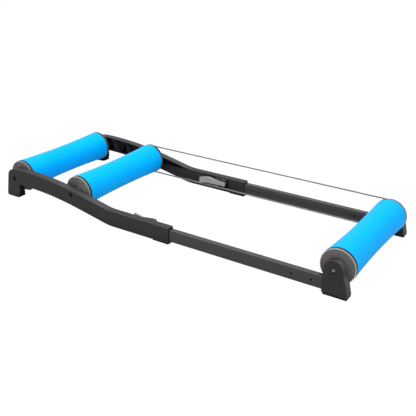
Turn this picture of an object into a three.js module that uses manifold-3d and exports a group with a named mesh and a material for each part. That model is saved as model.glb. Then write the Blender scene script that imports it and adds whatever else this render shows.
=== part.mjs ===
// Bike rollers: three waisted drums in a frame of two rails that telescopes for storage.
// Millimetres, +Z up, +X to the front drum, +Y to the rider's left.
// Lengths along X are first measured from the rear axle; the group at the end moves the
// whole to its own origin, on the floor under the middle of the rollers.
import * as THREE from "three";
import { mergeVertices } from "three/addons/utils/BufferGeometryUtils.js";
import Module from "manifold-3d";

const wasm = await Module();
wasm.setup();

// Driving dimensions
const cradle_span = 276; // rear axle to middle axle, where the rear wheel sits
const wheelbase_span = 965.5; // middle axle to front axle
const axle_height = 74;
const rail_reach = 36.5; // from a drum's end out to the centre of each rail
const fold_travel = 520; // how far the front frame slides in

// Clearances
const fit_gap = 0.3; // between pieces that touch or turn in each other
const cut_overrun = 5; // how far a cutting body runs past the face it cuts
const cut_bite = 1; // how far a joined body runs into the one it joins
const merge_within = 0.02; // corners of joined and cut bodies closer than this become one

// Facets of round pieces
const drum_facets = 32;
const small_facets = 16;
const hole_facets = 12;

const drum = { half_length: 196.5, end_radius: 55, waist_radius: 50, wall: 3.5, rings: 3 };

const cap = {
  flange: 2.2,
  groove_depth: 5.2,
  rim: 3.4,
  rim_chamfer: 1,
  radius_drop: 0.4, // the cap is this much smaller than the drum's end
  spigot_length: 13,
  spigot_wall: 5,
  spigot_gap: 1.4,
  web: 6,
  ridge_height: 1.2,
  ridge_width: 2.4,
  ridge_share: 0.62, // of the rim radius
  hub_radius: 15.5,
  hub_stand: 0.6,
  hub_depth: 18,
};

const belt = { radius: 2.5, groove_gap: 0.5, arc_steps: 18, sides: 8 };

const bearing = { outer_radius: 11, inner_radius: 4.3, width: 7, race: 1.8, shield_inset: 0.6, lip: 2 };

const axle = { radius: 4, shoulder_radius: 5.5, thread_radius: 2.5, thread_length: 14 };

const collar = { radius: 7.5 }; // on rails and feet, against the bearings

const bolt = { head_radius: 5, head_height: 4, socket_radius: 2, socket_depth: 2.4 };

const rail = {
  width: 28,
  back: 43.5, // from the rear axle to the leg's back, just over the floor
  back_top: 30.2, // the same at the top of that leaning back
  end: 689, // mouth, from the rear axle
  high_top: 112,
  low_top: 56.5,
  depth_rear: 56,
  depth_front: 53.5,
  bend_start: 41,
  bend_end: 465,
  back_height: 82, // top of the leaning back
  shoulder_in: 4, // the shoulder's curve starts this much further in
  shoulder_drop: 2, // and this much under the rail's top
  leg_front: 20,
  leg_bottom: 2,
  leg_radius: 9,
  toe_rise: 18,
  toe_run: 9,
  edge: 1.6,
  wall: 5,
  lip: 3, // top wall over the pocket
  skin: 2.8,
  boss_radius: 15,
  rib: 2.4,
  rib_count: 7,
  rib_inset: 3.2, // from the rail's inner face
  ribs_end: 262,
  roof: 2.4, // over the tube's channel
  pocket_start: 24,
};

// The bend of the rail, as shares of its run and of its fall
const bend_shares = [
  [0, 0],
  [0.26, 0.036],
  [0.446, 0.198],
  [0.68, 0.577],
  [0.847, 0.838],
  [0.906, 0.94],
  [0.941, 1],
  [1, 1],
];

const lug = { start: 50, end: 92, bottom: 44.5, radius: 9, inset: 0.4 };

const axle_recess = { rail_radius: 9, rail_depth: 13.5, foot_radius: 7.6, foot_depth: 16 };

const tube = {
  width: 20,
  height: 40,
  bottom: 10,
  wall: 1.5,
  corner: 2.5,
  run_gap: 1.6, // to the rail's inner walls, filled at the mouth by the guide
  socket: 49, // how far it goes into the foot
  hole_radius: 2.6,
  hole_pitch: 62,
  hole_count: 3,
};

const guide = { length: 40, lining: 1 };

const glide = { flange: 3, plug: 24, stop_gap: 1 };

const rear_foot = {
  inner: 12, // from the rail's centre, towards the middle
  outer: 3, // from the rail's centre, away from it
  back: 33,
  contact_end: -2,
  step_start: 3,
  step_height: 7,
  top: 48,
};

const mid_pad = { length: 64, inner: 12, outer: 12.5, end_chamfer: 2 };

const foot = {
  width: 33,
  heel: 28.5, // from the axle back to the straight rear edge
  toe: 49.5, // from the axle to the front of the sole
  dome_radius: 32,
  dome_share: 0.72, // where the dome's front quarter is drawn through
  plate: 16, // the outer part, which has the full dome
  lean_share: 0.105, // of the outer face, towards the middle plane, for each length up
  slim: 3, // how much smaller the dome is inside of it
  sole: 3,
  sole_inset: 0.5,
  heel_chamfer: 5,
  edge: 2,
  toe_lift: 8.5,
  bolt_radius: 2.4,
  bolt_head_radius: 4.5,
  bolt_head_height: 2.8,
};

const latch = {
  pivot_x: 609,
  pivot_out: 24, // from the rail's centre towards the middle plane
  pin_radius: 2,
  plate: 3.1,
  ear: 5.5,
  ear_gap: 2, // from the lever to the ear over it
  drop: 12.5, // of the housing below the clamp's centre line
  back: 43, // housing, from the pivot to its rear edge
  front: 17,
  ear_reach: 4.2, // past the pivot, towards the middle plane
  cam_radius: 4.6,
  cam_offset: 1.6,
  cam_gap: 0.5,
  screw_radius: 2,
  screw_head_radius: 3.2,
  screw_inset: 7,
  screw_rise: 9,
};

const lever = {
  length: 96, // from the pivot to the tip
  end: 4.2, // past the pivot
  thickness: 7,
  flare: 21,
  belt_gap: 4.1, // over the belt's lower run, which the lever crosses
  drop: 1.8, // of its bottom below the clamp's centre line
  height: 18.1,
  peak_rise: 7.9,
  tip_lift: 0.7,
  tip_height: 18.9,
  nose_chamfer: 4,
};

// The finger hump on the lever's top, as shares of the way from its tip to the pivot and of its rise
const hump_shares = [
  [0.675, 0],
  [0.41, 0.63],
  [0.295, 1],
];

const shoe = { length: 26, height: 16 };

// Places worked out from the sizes above
const rail_centre = drum.half_length + rail_reach;
const middle_x = cradle_span;
const front_x = cradle_span + wheelbase_span;
const overall_back = -drum.end_radius;
const overall_front = front_x + drum.end_radius;
const rail_inner = rail_centre - rail.width / 2;
const rail_outer = rail_centre + rail.width / 2;
const tube_top = tube.bottom + tube.height;
const channel_half = tube.width / 2 + tube.run_gap;
const cap_flange_face = drum.half_length + fit_gap + cap.flange;
const groove_centre = cap_flange_face + belt.radius + fit_gap;
const cap_rim_start = groove_centre + belt.radius + fit_gap;
const cap_face = cap_rim_start + cap.rim;
const cap_radius = drum.end_radius - cap.radius_drop;
const groove_radius = cap_radius - cap.groove_depth;
const belt_line = groove_radius + belt.groove_gap + belt.radius;
const bearing_outside = cap_face - bearing.lip;
const bearing_inside = bearing_outside - bearing.width;
const foot_inner = rail_centre - foot.width / 2;
const foot_outer = rail_centre + foot.width / 2;
const tube_front = front_x - foot.heel + tube.socket;
const tube_back = rail.leg_front + fold_travel + glide.stop_gap + glide.flange + fit_gap;
const foot_bolt_z = tube.bottom + tube.height / 2;
const lever_bottom = axle_height - belt_line + belt.radius + lever.belt_gap;
const lever_top = lever_bottom + lever.height;
const clamp_z = lever_bottom + lever.drop;
const ear_bottom = clamp_z - latch.drop;
const ear_top = lever_top + latch.ear_gap + latch.ear;

// Finishes
const material = (color, roughness, metalness = 0) =>
  new THREE.MeshStandardMaterial({ color, roughness, metalness });
const black_plastic = material(0x2b2a2c, 0.6);
const tube_paint = material(0x3a393b, 0.4, 0.3);
const drum_blue = material(0x00a8f0, 0.35);
const cap_grey = material(0x4a4a4c, 0.35);
const rubber = material(0x0d0d0e, 0.85);
const steel = material(0xb9bcc0, 0.3, 1);
const lever_grey = material(0x8b8c8a, 0.55);
const belt_grey = material(0x4d4b49, 0.35);

// Helpers for solids
function solid(geometry) {
  const bare = geometry.index ? geometry.toNonIndexed() : geometry.clone();
  bare.deleteAttribute("normal");
  bare.deleteAttribute("uv");
  const merged = mergeVertices(bare, 1e-4);
  return new wasm.Manifold(
    new wasm.Mesh({
      numProp: 3,
      vertProperties: merged.attributes.position.array,
      triVerts: new Uint32Array(merged.index.array),
    }),
  );
}

function geometryOf(body) {
  const mesh = body.simplify(merge_within).getMesh();
  const made = new THREE.BufferGeometry();
  made.setAttribute("position", new THREE.BufferAttribute(mesh.vertProperties, 3));
  made.setIndex(new THREE.BufferAttribute(mesh.triVerts, 1));
  return made;
}

const cut = (body, ...tools) => tools.reduce((left, tool) => left.subtract(tool), body);
const join = (body, ...others) => others.reduce((sum, other) => sum.add(other), body);

// A box between two corners
function block(x0, x1, y0, y1, z0, z1) {
  const made = new THREE.BoxGeometry(x1 - x0, y1 - y0, z1 - z0);
  return made.translate((x0 + x1) / 2, (y0 + y1) / 2, (z0 + z1) / 2);
}

// An outline drawn in X and Z, made thick from y0 to y1
function plate(outline, y0, y1, edge = 0, curve_steps = 6) {
  const made = new THREE.ExtrudeGeometry(outline, {
    depth: y1 - y0 - 2 * edge,
    curveSegments: curve_steps,
    bevelEnabled: edge > 0,
    bevelSize: edge,
    bevelOffset: -edge,
    bevelThickness: edge,
    bevelSegments: 2,
  });
  return made.rotateX(Math.PI / 2).translate(0, y1 - edge, 0);
}

// The same between two distances from the middle plane, on the left (1) or right (-1) side
const sidePlate = (outline, side, inner, outer, edge, steps) =>
  side > 0 ? plate(outline, inner, outer, edge, steps) : plate(outline, -outer, -inner, edge, steps);
const sideBlock = (x0, x1, side, inner, outer, z0, z1) =>
  side > 0 ? block(x0, x1, inner, outer, z0, z1) : block(x0, x1, -outer, -inner, z0, z1);

// A profile of [radius, distance along Y] points turned about the Y axis
const turned = (profile, facets) =>
  new THREE.LatheGeometry(profile.map(([r, y]) => new THREE.Vector2(r, y)), facets);

// The profile of a ring that closes on itself
const ring = (r0, r1, y0, y1) => [
  [r0, y0],
  [r1, y0],
  [r1, y1],
  [r0, y1],
  [r0, y0],
];

// A rod along Y between two distances from the middle plane
function rod(radius, x, z, side, inner, outer, facets = hole_facets) {
  const made = new THREE.CylinderGeometry(radius, radius, outer - inner, facets);
  return made.translate(x, (side * (inner + outer)) / 2, z);
}

// A pin along Z
function upright(radius, x, y, z0, z1, facets = hole_facets) {
  const made = new THREE.CylinderGeometry(radius, radius, z1 - z0, facets).rotateX(Math.PI / 2);
  return made.translate(x, y, (z0 + z1) / 2);
}

// A round profile made for the left side, turned over for the right
const onSide = (geometry, side) => (side > 0 ? geometry : geometry.rotateZ(Math.PI));

const shapeOf = (points) => new THREE.Shape(points.map(([x, z]) => new THREE.Vector2(x, z)));

const sides = [
  ["left", 1],
  ["right", -1],
];

const rollers = new THREE.Group();
function add(name, geometry, finish, x = 0, z = 0) {
  const mesh = new THREE.Mesh(geometry, finish);
  mesh.name = name;
  mesh.position.set(x, 0, z);
  rollers.add(mesh);
}

// Drum: a tube drawn in towards its middle
function drumTube() {
  const radiusAt = (y) => {
    const share = y / drum.half_length;
    return drum.waist_radius + (drum.end_radius - drum.waist_radius) * share * share;
  };
  const places = [];
  for (let i = -drum.rings; i <= drum.rings; i++) places.push((i / drum.rings) * drum.half_length);
  const outside = places.map((y) => [radiusAt(y), y]);
  const inside = places.map((y) => [radiusAt(y) - drum.wall, y]).reverse();
  return turned([...outside, ...inside, outside[0]], drum_facets);
}

// End cap: a spigot in the drum, the belt groove, a rim, and a ridged face round the bearing
function endCap() {
  const spigot_radius = drum.end_radius - drum.wall - cap.spigot_gap;
  const spigot_end = drum.half_length - cap.spigot_length;
  const web_inside = cap_face - cap.ridge_height - cap.web;
  const web_face = cap_face - cap.ridge_height;
  const hub_inside = cap_face - cap.hub_depth;
  const seat = bearing.outer_radius + fit_gap;
  const lip = bearing.outer_radius - bearing.lip;
  const ridge_radius = cap.ridge_share * cap_radius;
  return [
    [lip, hub_inside],
    [cap.hub_radius, hub_inside],
    [cap.hub_radius, web_inside],
    [spigot_radius - cap.spigot_wall, web_inside],
    [spigot_radius - cap.spigot_wall, spigot_end],
    [spigot_radius, spigot_end],
    [spigot_radius, drum.half_length + fit_gap],
    [cap_radius, drum.half_length + fit_gap],
    [cap_radius, cap_flange_face],
    [groove_radius, cap_flange_face],
    [groove_radius, cap_rim_start],
    [cap_radius, cap_rim_start],
    [cap_radius, cap_face - cap.rim_chamfer],
    [cap_radius - cap.rim_chamfer, cap_face],
    [cap_radius - cap.rim_chamfer - cap.ridge_width, cap_face],
    [ridge_radius + cap.ridge_width, web_face],
    [ridge_radius, cap_face],
    [ridge_radius - cap.ridge_width, web_face],
    [cap.hub_radius, web_face],
    [cap.hub_radius, cap_face + cap.hub_stand],
    [seat, cap_face + cap.hub_stand],
    [seat, bearing_inside - fit_gap],
    [lip, bearing_inside - fit_gap],
    [lip, hub_inside],
  ];
}

// Axle: shouldered between the bearings, with a threaded hole in each end
function axleRod(end) {
  const step = bearing_inside - fit_gap;
  const bore = axle.thread_radius + fit_gap;
  const hole = end - axle.thread_length;
  const half = [
    [axle.shoulder_radius, step],
    [axle.radius, step],
    [axle.radius, end],
    [bore, end],
    [bore, hole],
    [0, hole],
  ];
  const other = half.map(([r, y]) => [r, -y]).reverse();
  return turned([...other, ...half], small_facets);
}

// Bolt with a hexagon socket, head outwards, that screws into an axle's end
function axleBolt(head_out) {
  const head_in = head_out - bolt.head_height;
  const shank_end = head_in - axle.thread_length + 2 * fit_gap;
  const body = turned(
    [
      [0, shank_end],
      [axle.thread_radius, shank_end],
      [axle.thread_radius, head_in],
      [bolt.head_radius, head_in],
      [bolt.head_radius, head_out],
      [0, head_out],
    ],
    small_facets,
  );
  const hexagon = rod(bolt.socket_radius, 0, 0, 1, head_out - bolt.socket_depth, head_out + cut_overrun, 6);
  return cut(solid(body), solid(hexagon));
}

// Bearing: a ring whose outer face is sunk between the two races
function ballBearing() {
  const shield_out = bearing.outer_radius - bearing.race;
  const shield_in = bearing.inner_radius + bearing.race;
  const face = [
    [bearing.inner_radius, bearing_outside],
    [shield_in, bearing_outside],
    [shield_in, bearing_outside - bearing.shield_inset],
    [shield_out, bearing_outside - bearing.shield_inset],
    [shield_out, bearing_outside],
    [bearing.outer_radius, bearing_outside],
  ];
  const back = [
    [bearing.outer_radius, bearing_inside],
    [bearing.inner_radius, bearing_inside],
  ];
  return turned([...back.reverse(), ...face.reverse(), back[0]], small_facets);
}

function addRoller(name, x, axle_end) {
  add(`${name}_drum`, drumTube(), drum_blue, x, axle_height);
  add(`${name}_axle`, axleRod(axle_end), steel, x, axle_height);
  const head_out = axle_end + bolt.head_height + fit_gap;
  for (const [place, side] of sides) {
    add(`${name}_end_cap_${place}`, onSide(turned(endCap(), drum_facets), side), cap_grey, x, axle_height);
    add(`${name}_bearing_${place}`, onSide(ballBearing(), side), steel, x, axle_height);
    add(`${name}_axle_bolt_${place}`, onSide(geometryOf(axleBolt(head_out)), side), steel, x, axle_height);
  }
}

const rail_axle_end = rail_outer - axle_recess.rail_depth;
const foot_axle_end = foot_outer - axle_recess.foot_depth;
addRoller("rear", 0, rail_axle_end);
addRoller("middle", middle_x, rail_axle_end);
addRoller("front", front_x, foot_axle_end);

// Round belt: a closed loop in the left grooves of the middle and front drums
function beltLoop() {
  const centres = [];
  for (const [x, start] of [[front_x, Math.PI / 2], [middle_x, -Math.PI / 2]]) {
    for (let i = 0; i <= belt.arc_steps; i++) {
      const turn = start - (i / belt.arc_steps) * Math.PI;
      centres.push({ x, turn });
    }
  }
  const points = [];
  for (const { x, turn } of centres) {
    for (let k = 0; k < belt.sides; k++) {
      const round = (k / belt.sides) * 2 * Math.PI;
      const reach = belt_line + belt.radius * Math.cos(round);
      const y = groove_centre + belt.radius * Math.sin(round);
      points.push(x + reach * Math.cos(turn), y, axle_height + reach * Math.sin(turn));
    }
  }
  const faces = [];
  for (let i = 0; i < centres.length; i++) {
    const next = (i + 1) % centres.length;
    for (let k = 0; k < belt.sides; k++) {
      const beside = (k + 1) % belt.sides;
      const [a, b] = [i * belt.sides + k, i * belt.sides + beside];
      const [c, d] = [next * belt.sides + k, next * belt.sides + beside];
      faces.push(a, c, b, b, c, d);
    }
  }
  const made = new THREE.BufferGeometry();
  made.setAttribute("position", new THREE.Float32BufferAttribute(points, 3));
  made.setIndex(faces);
  return made;
}
add("drive_belt", beltLoop(), belt_grey);

// Outer rail: high over the rear drums, low along the floor, with a leg at its back
const mix = (a, b, share) => a + (b - a) * share;

// Points of the bend's curve, dropped from the rail's top
const bendPoints = (drop_rear, drop_front) =>
  bend_shares.map(([along, fall]) => [
    mix(rail.bend_start, rail.bend_end, along),
    mix(rail.high_top, rail.low_top, fall) - mix(drop_rear, drop_front, along),
  ]);

function railOutline() {
  const top = bendPoints(0, 0);
  const under = bendPoints(rail.depth_rear, rail.depth_front);
  const s = new THREE.Shape();
  const toe_x = rail.leg_front - rail.toe_run;
  const heel_z = rail.leg_bottom + rail.leg_radius;
  s.moveTo(-rail.back + rail.leg_radius, rail.leg_bottom);
  s.lineTo(toe_x, rail.leg_bottom);
  s.lineTo(rail.leg_front, rail.leg_bottom + rail.toe_rise);
  s.lineTo(rail.leg_front, under[0][1] - rail.wall);
  s.lineTo(rail.leg_front + rail.wall, under[0][1]);
  s.lineTo(...under[0]);
  s.bezierCurveTo(...under[1], ...under[2], ...under[3]);
  s.lineTo(...under[4]);
  s.bezierCurveTo(...under[5], ...under[6], ...under[7]);
  s.lineTo(rail.end, rail.low_top - rail.depth_front);
  s.lineTo(rail.end, rail.low_top);
  s.lineTo(...top[7]);
  s.bezierCurveTo(...top[6], ...top[5], ...top[4]);
  s.lineTo(...top[3]);
  s.bezierCurveTo(...top[2], ...top[1], ...top[0]);
  const shoulder_x = rail.shoulder_in - rail.back_top;
  const shoulder_z = rail.high_top - rail.shoulder_drop;
  s.bezierCurveTo(0, rail.high_top, shoulder_x, shoulder_z, -rail.back_top, rail.back_height);
  s.lineTo(-rail.back, heel_z);
  s.quadraticCurveTo(-rail.back, rail.leg_bottom, -rail.back + rail.leg_radius, rail.leg_bottom);
  return s;
}

// The open pocket on the rail's inner side. It is bounded by the rail's top and bottom walls and
// by the roof over the tube's channel, and closes where the bend comes down to that roof.
function pocket(side, bite) {
  const wall = rail.wall - bite;
  const top = bendPoints(rail.lip - bite, rail.lip - bite);
  const under = bendPoints(rail.depth_rear - wall, rail.depth_front - wall);
  const start_x = rail.pocket_start - bite;
  const s = new THREE.Shape();
  s.moveTo(start_x, under[0][1]);
  s.lineTo(...under[0]);
  s.bezierCurveTo(...under[1], ...under[2], ...under[3]);
  s.lineTo(...under[4]);
  s.lineTo(...top[7]);
  s.bezierCurveTo(...top[6], ...top[5], ...top[4]);
  s.lineTo(...top[3]);
  s.bezierCurveTo(...top[2], ...top[1], ...top[0]);
  s.lineTo(start_x, top[0][1]);
  const inner = bite ? rail_inner + rail.edge : rail_inner - cut_overrun;
  const outer = rail_outer - rail.skin + bite;
  const roof = tube_top + tube.run_gap + rail.roof - bite;
  const below = sideBlock(-rail.back, rail.end, side, inner - cut_overrun, outer + cut_overrun, 0, roof);
  return cut(solid(sidePlate(s, side, inner, outer)), solid(below));
}

// Zigzag ribs across the pocket, over its full-height part
function pocketRibs(side) {
  const pitch = (rail.ribs_end - rail.pocket_start) / rail.rib_count;
  const bars = [];
  for (let i = 0; i < rail.rib_count; i++) {
    const from_x = rail.pocket_start + i * pitch;
    const lean = i % 2 ? [from_x + pitch, from_x] : [from_x, from_x + pitch];
    const bar = shapeOf([
      [lean[0] - rail.rib / 2, rail.low_top / 2],
      [lean[0] + rail.rib / 2, rail.low_top / 2],
      [lean[1] + rail.rib / 2, rail.high_top],
      [lean[1] - rail.rib / 2, rail.high_top],
    ]);
    bars.push(solid(sidePlate(bar, side, rail_inner + rail.rib_inset, rail_outer)));
  }
  return join(bars[0], ...bars.slice(1)).intersect(pocket(side, cut_bite));
}

function rearFootOutline(grow) {
  return shapeOf([
    [-rear_foot.back - grow, -grow],
    [rear_foot.contact_end + grow, -grow],
    [rear_foot.step_start + grow, rear_foot.step_height - grow],
    [rail.leg_front + grow, rear_foot.step_height - grow],
    [rail.leg_front + grow, rear_foot.top + grow],
    [-rear_foot.back - grow, rear_foot.top + grow],
  ]);
}

function railBody(side) {
  const outline = solid(sidePlate(railOutline(), side, rail_inner, rail_outer, rail.edge, 6));
  const lug_outline = new THREE.Shape();
  const lug_top = bendPoints(rail.depth_rear - rail.wall, rail.depth_front)[0][1];
  lug_outline.moveTo(lug.start, lug_top);
  lug_outline.lineTo(lug.start, lug.bottom + lug.radius / 2);
  lug_outline.quadraticCurveTo(lug.start, lug.bottom, lug.start + lug.radius, lug.bottom);
  lug_outline.lineTo(lug.end - 2 * lug.radius, lug.bottom);
  lug_outline.quadraticCurveTo(lug.end - lug.radius, lug.bottom, lug.end, lug_top);
  const lug_body = solid(sidePlate(lug_outline, side, rail_centre, rail_outer - lug.inset));
  const boss_end = rail_outer - rail.edge;
  const bosses = [0, middle_x].flatMap((x) => [
    solid(rod(rail.boss_radius, x, axle_height, side, rail_inner + fit_gap, boss_end, small_facets)),
    solid(rod(collar.radius, x, axle_height, side, bearing_outside + fit_gap, boss_end, small_facets)),
  ]);
  const shell = join(cut(outline, pocket(side, 0)), pocketRibs(side), lug_body, ...bosses);
  const channel = sideBlock(
    rail.leg_front + rail.wall,
    rail.end + cut_overrun,
    side,
    rail_centre - channel_half,
    rail_centre + channel_half,
    tube.bottom - tube.run_gap,
    tube_top + tube.run_gap,
  );
  const foot_socket = sidePlate(
    rearFootOutline(fit_gap),
    side,
    rail_inner - cut_overrun,
    rail_centre + rear_foot.outer + fit_gap,
  );
  const recess_floor = rail_axle_end - fit_gap;
  const beyond = rail_outer + cut_overrun;
  const bores = [0, middle_x].flatMap((x) => [
    solid(rod(axle.radius + fit_gap, x, axle_height, side, bearing_inside, beyond)),
    solid(rod(axle_recess.rail_radius, x, axle_height, side, recess_floor, beyond, small_facets)),
  ]);
  const window_cut = sideBlock(
    latch.pivot_x - shoe.length / 2 - fit_gap,
    latch.pivot_x + shoe.length / 2 + fit_gap,
    side,
    rail_inner - cut_overrun,
    rail_centre - channel_half + cut_overrun,
    clamp_z - shoe.height / 2 - fit_gap,
    clamp_z + shoe.height / 2 + fit_gap,
  );
  return cut(shell, solid(channel), solid(foot_socket), ...bores, solid(window_cut), ...screwHoles(side));
}

// Latch: housing, cam lever, pivot pin and the shoe that grips the tube
const pivot_y = rail_centre - latch.pivot_out;
const plate_inner = rail_inner - fit_gap - latch.plate;

const screw_head_height = latch.plate / 2;
const latch_screws = [
  ["lower", clamp_z - latch.screw_rise],
  ["upper", clamp_z + latch.screw_rise],
];

function latchScrew(side, z, grow, outer) {
  const x = latch.pivot_x - latch.back + latch.screw_inset;
  const head_outer = plate_inner + screw_head_height + grow;
  return join(
    solid(rod(latch.screw_radius + grow, x, z, side, plate_inner, outer, 12)),
    solid(rod(latch.screw_head_radius + grow, x, z, side, plate_inner - grow, head_outer, 12)),
  );
}

const screwHoles = (side) => latch_screws.map(([, z]) => latchScrew(side, z, fit_gap, rail_centre));

function housing(side) {
  const back_x = latch.pivot_x - latch.back;
  const front_end = latch.pivot_x + latch.front;
  const seat = rail_inner - fit_gap;
  const reach = pivot_y - latch.ear_reach;
  const ear = shapeOf([
    [back_x, side * seat],
    [back_x + latch.ear, side * mix(seat, reach, 0.5)],
    [latch.pivot_x - latch.ear_reach * 2, side * reach],
    [latch.pivot_x + latch.ear_reach / 2, side * reach],
    [latch.pivot_x + latch.front * 0.8, side * mix(seat, reach, 0.5)],
    [front_end, side * seat],
  ]);
  const ears = [ear_bottom, ear_top - latch.ear].map((z) =>
    solid(new THREE.ExtrudeGeometry(ear, { depth: latch.ear, bevelEnabled: false }).translate(0, 0, z)),
  );
  const base = solid(sideBlock(back_x, front_end, side, plate_inner, seat, ear_bottom, ear_top));
  const shoe_window = sideBlock(
    latch.pivot_x - shoe.length / 2 - fit_gap,
    latch.pivot_x + shoe.length / 2 + fit_gap,
    side,
    plate_inner - cut_overrun,
    rail_centre,
    clamp_z - shoe.height / 2 - fit_gap,
    clamp_z + shoe.height / 2 + fit_gap,
  );
  const pin_hole = upright(
    latch.pin_radius + fit_gap,
    latch.pivot_x,
    side * pivot_y,
    ear_bottom - cut_overrun,
    ear_top + cut_overrun,
  );
  return cut(join(base, ...ears), solid(shoe_window), solid(pin_hole), ...screwHoles(side));
}

function leverArm(side) {
  const tip_x = latch.pivot_x - lever.length;
  const arm_out = pivot_y - lever.thickness / 2;
  const arm_in = pivot_y + lever.thickness / 2;
  const nose_x = latch.pivot_x + lever.end;
  const plan = new THREE.Shape();
  plan.moveTo(nose_x, side * arm_out);
  plan.lineTo(latch.pivot_x, side * arm_out);
  plan.bezierCurveTo(
    mix(latch.pivot_x, tip_x, 0.6),
    side * arm_out,
    mix(latch.pivot_x, tip_x, 0.65),
    side * (arm_out - lever.flare / 3),
    tip_x,
    side * (arm_out - lever.flare + lever.thickness / 2),
  );
  plan.lineTo(tip_x, side * (arm_in - lever.flare + lever.thickness / 2));
  plan.bezierCurveTo(
    mix(latch.pivot_x, tip_x, 0.65),
    side * (arm_in - lever.flare / 3),
    mix(latch.pivot_x, tip_x, 0.6),
    side * arm_in,
    latch.pivot_x,
    side * arm_in,
  );
  plan.lineTo(nose_x, side * arm_in);
  const peak_z = lever_top + lever.peak_rise;
  const tip_z = lever_bottom + lever.tip_lift;
  const flat = solid(
    new THREE.ExtrudeGeometry(plan, { depth: peak_z, bevelEnabled: false, curveSegments: 6 }),
  );
  const cam_y = side * (pivot_y + latch.cam_offset);
  const cam = solid(upright(latch.cam_radius, latch.pivot_x, cam_y, 0, peak_z, small_facets));
  const face = shapeOf([
    [tip_x, tip_z],
    [mix(tip_x, latch.pivot_x, 0.4), lever_bottom],
    [nose_x - lever.nose_chamfer, lever_bottom],
    [nose_x, lever_bottom + lever.nose_chamfer],
    [nose_x, lever_top - lever.nose_chamfer],
    [nose_x - lever.nose_chamfer, lever_top],
    ...hump_shares.map(([along, rise]) => [
      mix(tip_x, latch.pivot_x, along),
      lever_top + rise * lever.peak_rise,
    ]),
    [tip_x, tip_z + lever.tip_height],
  ]);
  const profile = solid(sidePlate(face, side, pivot_y - 2 * lever.flare, rail_centre));
  const hole_radius = latch.pin_radius + fit_gap;
  const pin_hole = upright(hole_radius, latch.pivot_x, side * pivot_y, -cut_overrun, peak_z + cut_overrun);
  return cut(join(flat, cam).intersect(profile), solid(pin_hole));
}

function gripShoe(side) {
  const back = pivot_y + latch.cam_offset + latch.cam_radius + latch.cam_gap;
  const front = rail_centre - tube.width / 2 - fit_gap;
  const half = shoe.length / 2;
  return sideBlock(
    latch.pivot_x - half,
    latch.pivot_x + half,
    side,
    back,
    front,
    clamp_z - shoe.height / 2,
    clamp_z + shoe.height / 2,
  );
}

// Inner tube: a rounded rectangle with a bore, and the holes that set its foot
function roundedBox(half_w, half_h, radius, Kind) {
  const s = new Kind();
  s.moveTo(-half_w + radius, -half_h);
  s.lineTo(half_w - radius, -half_h);
  s.quadraticCurveTo(half_w, -half_h, half_w, -half_h + radius);
  s.lineTo(half_w, half_h - radius);
  s.quadraticCurveTo(half_w, half_h, half_w - radius, half_h);
  s.lineTo(-half_w + radius, half_h);
  s.quadraticCurveTo(-half_w, half_h, -half_w, half_h - radius);
  s.lineTo(-half_w, -half_h + radius);
  s.quadraticCurveTo(-half_w, -half_h, -half_w + radius, -half_h);
  return s;
}

// A section across the rail, drawn about the tube's centre, from one X to another
function alongRail(section, side, x0, x1) {
  const options = { depth: x1 - x0, bevelEnabled: false, curveSegments: 3 };
  const made = new THREE.ExtrudeGeometry(section, options);
  made.rotateX(Math.PI / 2).rotateZ(Math.PI / 2);
  return made.translate(x0, side * rail_centre, foot_bolt_z);
}

const hollow = (half_w, half_h, radius, wall) => {
  const s = roundedBox(half_w, half_h, radius, THREE.Shape);
  s.holes.push(roundedBox(half_w - wall, half_h - wall, Math.max(radius - wall, fit_gap), THREE.Path));
  return s;
};

function innerTube(side) {
  const section = hollow(tube.width / 2, tube.height / 2, tube.corner, tube.wall);
  const body = solid(alongRail(section, side, tube_back, tube_front));
  const holes = [];
  for (let i = 0; i < tube.hole_count; i++) {
    const x = front_x - i * tube.hole_pitch;
    holes.push(solid(rod(tube.hole_radius + fit_gap, x, foot_bolt_z, side, rail_inner, rail_outer, 12)));
  }
  return cut(body, ...holes);
}

function tubeGlide(side) {
  const flange = roundedBox(tube.width / 2, tube.height / 2, tube.corner, THREE.Shape);
  const inset = tube.wall + fit_gap;
  const plug = roundedBox(tube.width / 2 - inset, tube.height / 2 - inset, tube.wall, THREE.Shape);
  const face = tube_back - fit_gap;
  return join(
    solid(alongRail(flange, side, face - glide.flange, face)),
    solid(alongRail(plug, side, face, tube_back + glide.plug)),
  );
}

function mouthGuide(side) {
  const half_w = channel_half - fit_gap;
  const half_h = tube.height / 2 + tube.run_gap - fit_gap;
  const section = roundedBox(half_w, half_h, fit_gap, THREE.Shape);
  section.holes.push(roundedBox(half_w - guide.lining, half_h - guide.lining, fit_gap, THREE.Path));
  return alongRail(section, side, rail.end - guide.length, rail.end);
}

// Front foot: the domed bracket at the end of the inner tube, on a rubber sole
function footOutline(slim) {
  const s = new THREE.Shape();
  const heel_x = front_x - foot.heel;
  const toe_x = front_x + foot.toe;
  const dome = foot.dome_radius - slim;
  const top = axle_height + dome;
  const round = foot.dome_radius * foot.dome_share;
  s.moveTo(heel_x + foot.heel_chamfer, foot.sole);
  s.lineTo(toe_x - fit_gap, foot.sole);
  s.lineTo(toe_x, foot.toe_lift);
  s.lineTo(front_x + dome, axle_height);
  const front_low = top - round * (1 - foot.dome_share);
  s.quadraticCurveTo(front_x + dome, front_low, front_x + dome * foot.dome_share, top - slim / 2);
  s.quadraticCurveTo(front_x + dome / 2, top, front_x, top);
  s.quadraticCurveTo(heel_x + slim, top, heel_x + slim, axle_height);
  s.lineTo(heel_x, foot.sole + foot.toe_lift * 2);
  s.lineTo(heel_x, foot.sole + foot.heel_chamfer);
  return s;
}

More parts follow.
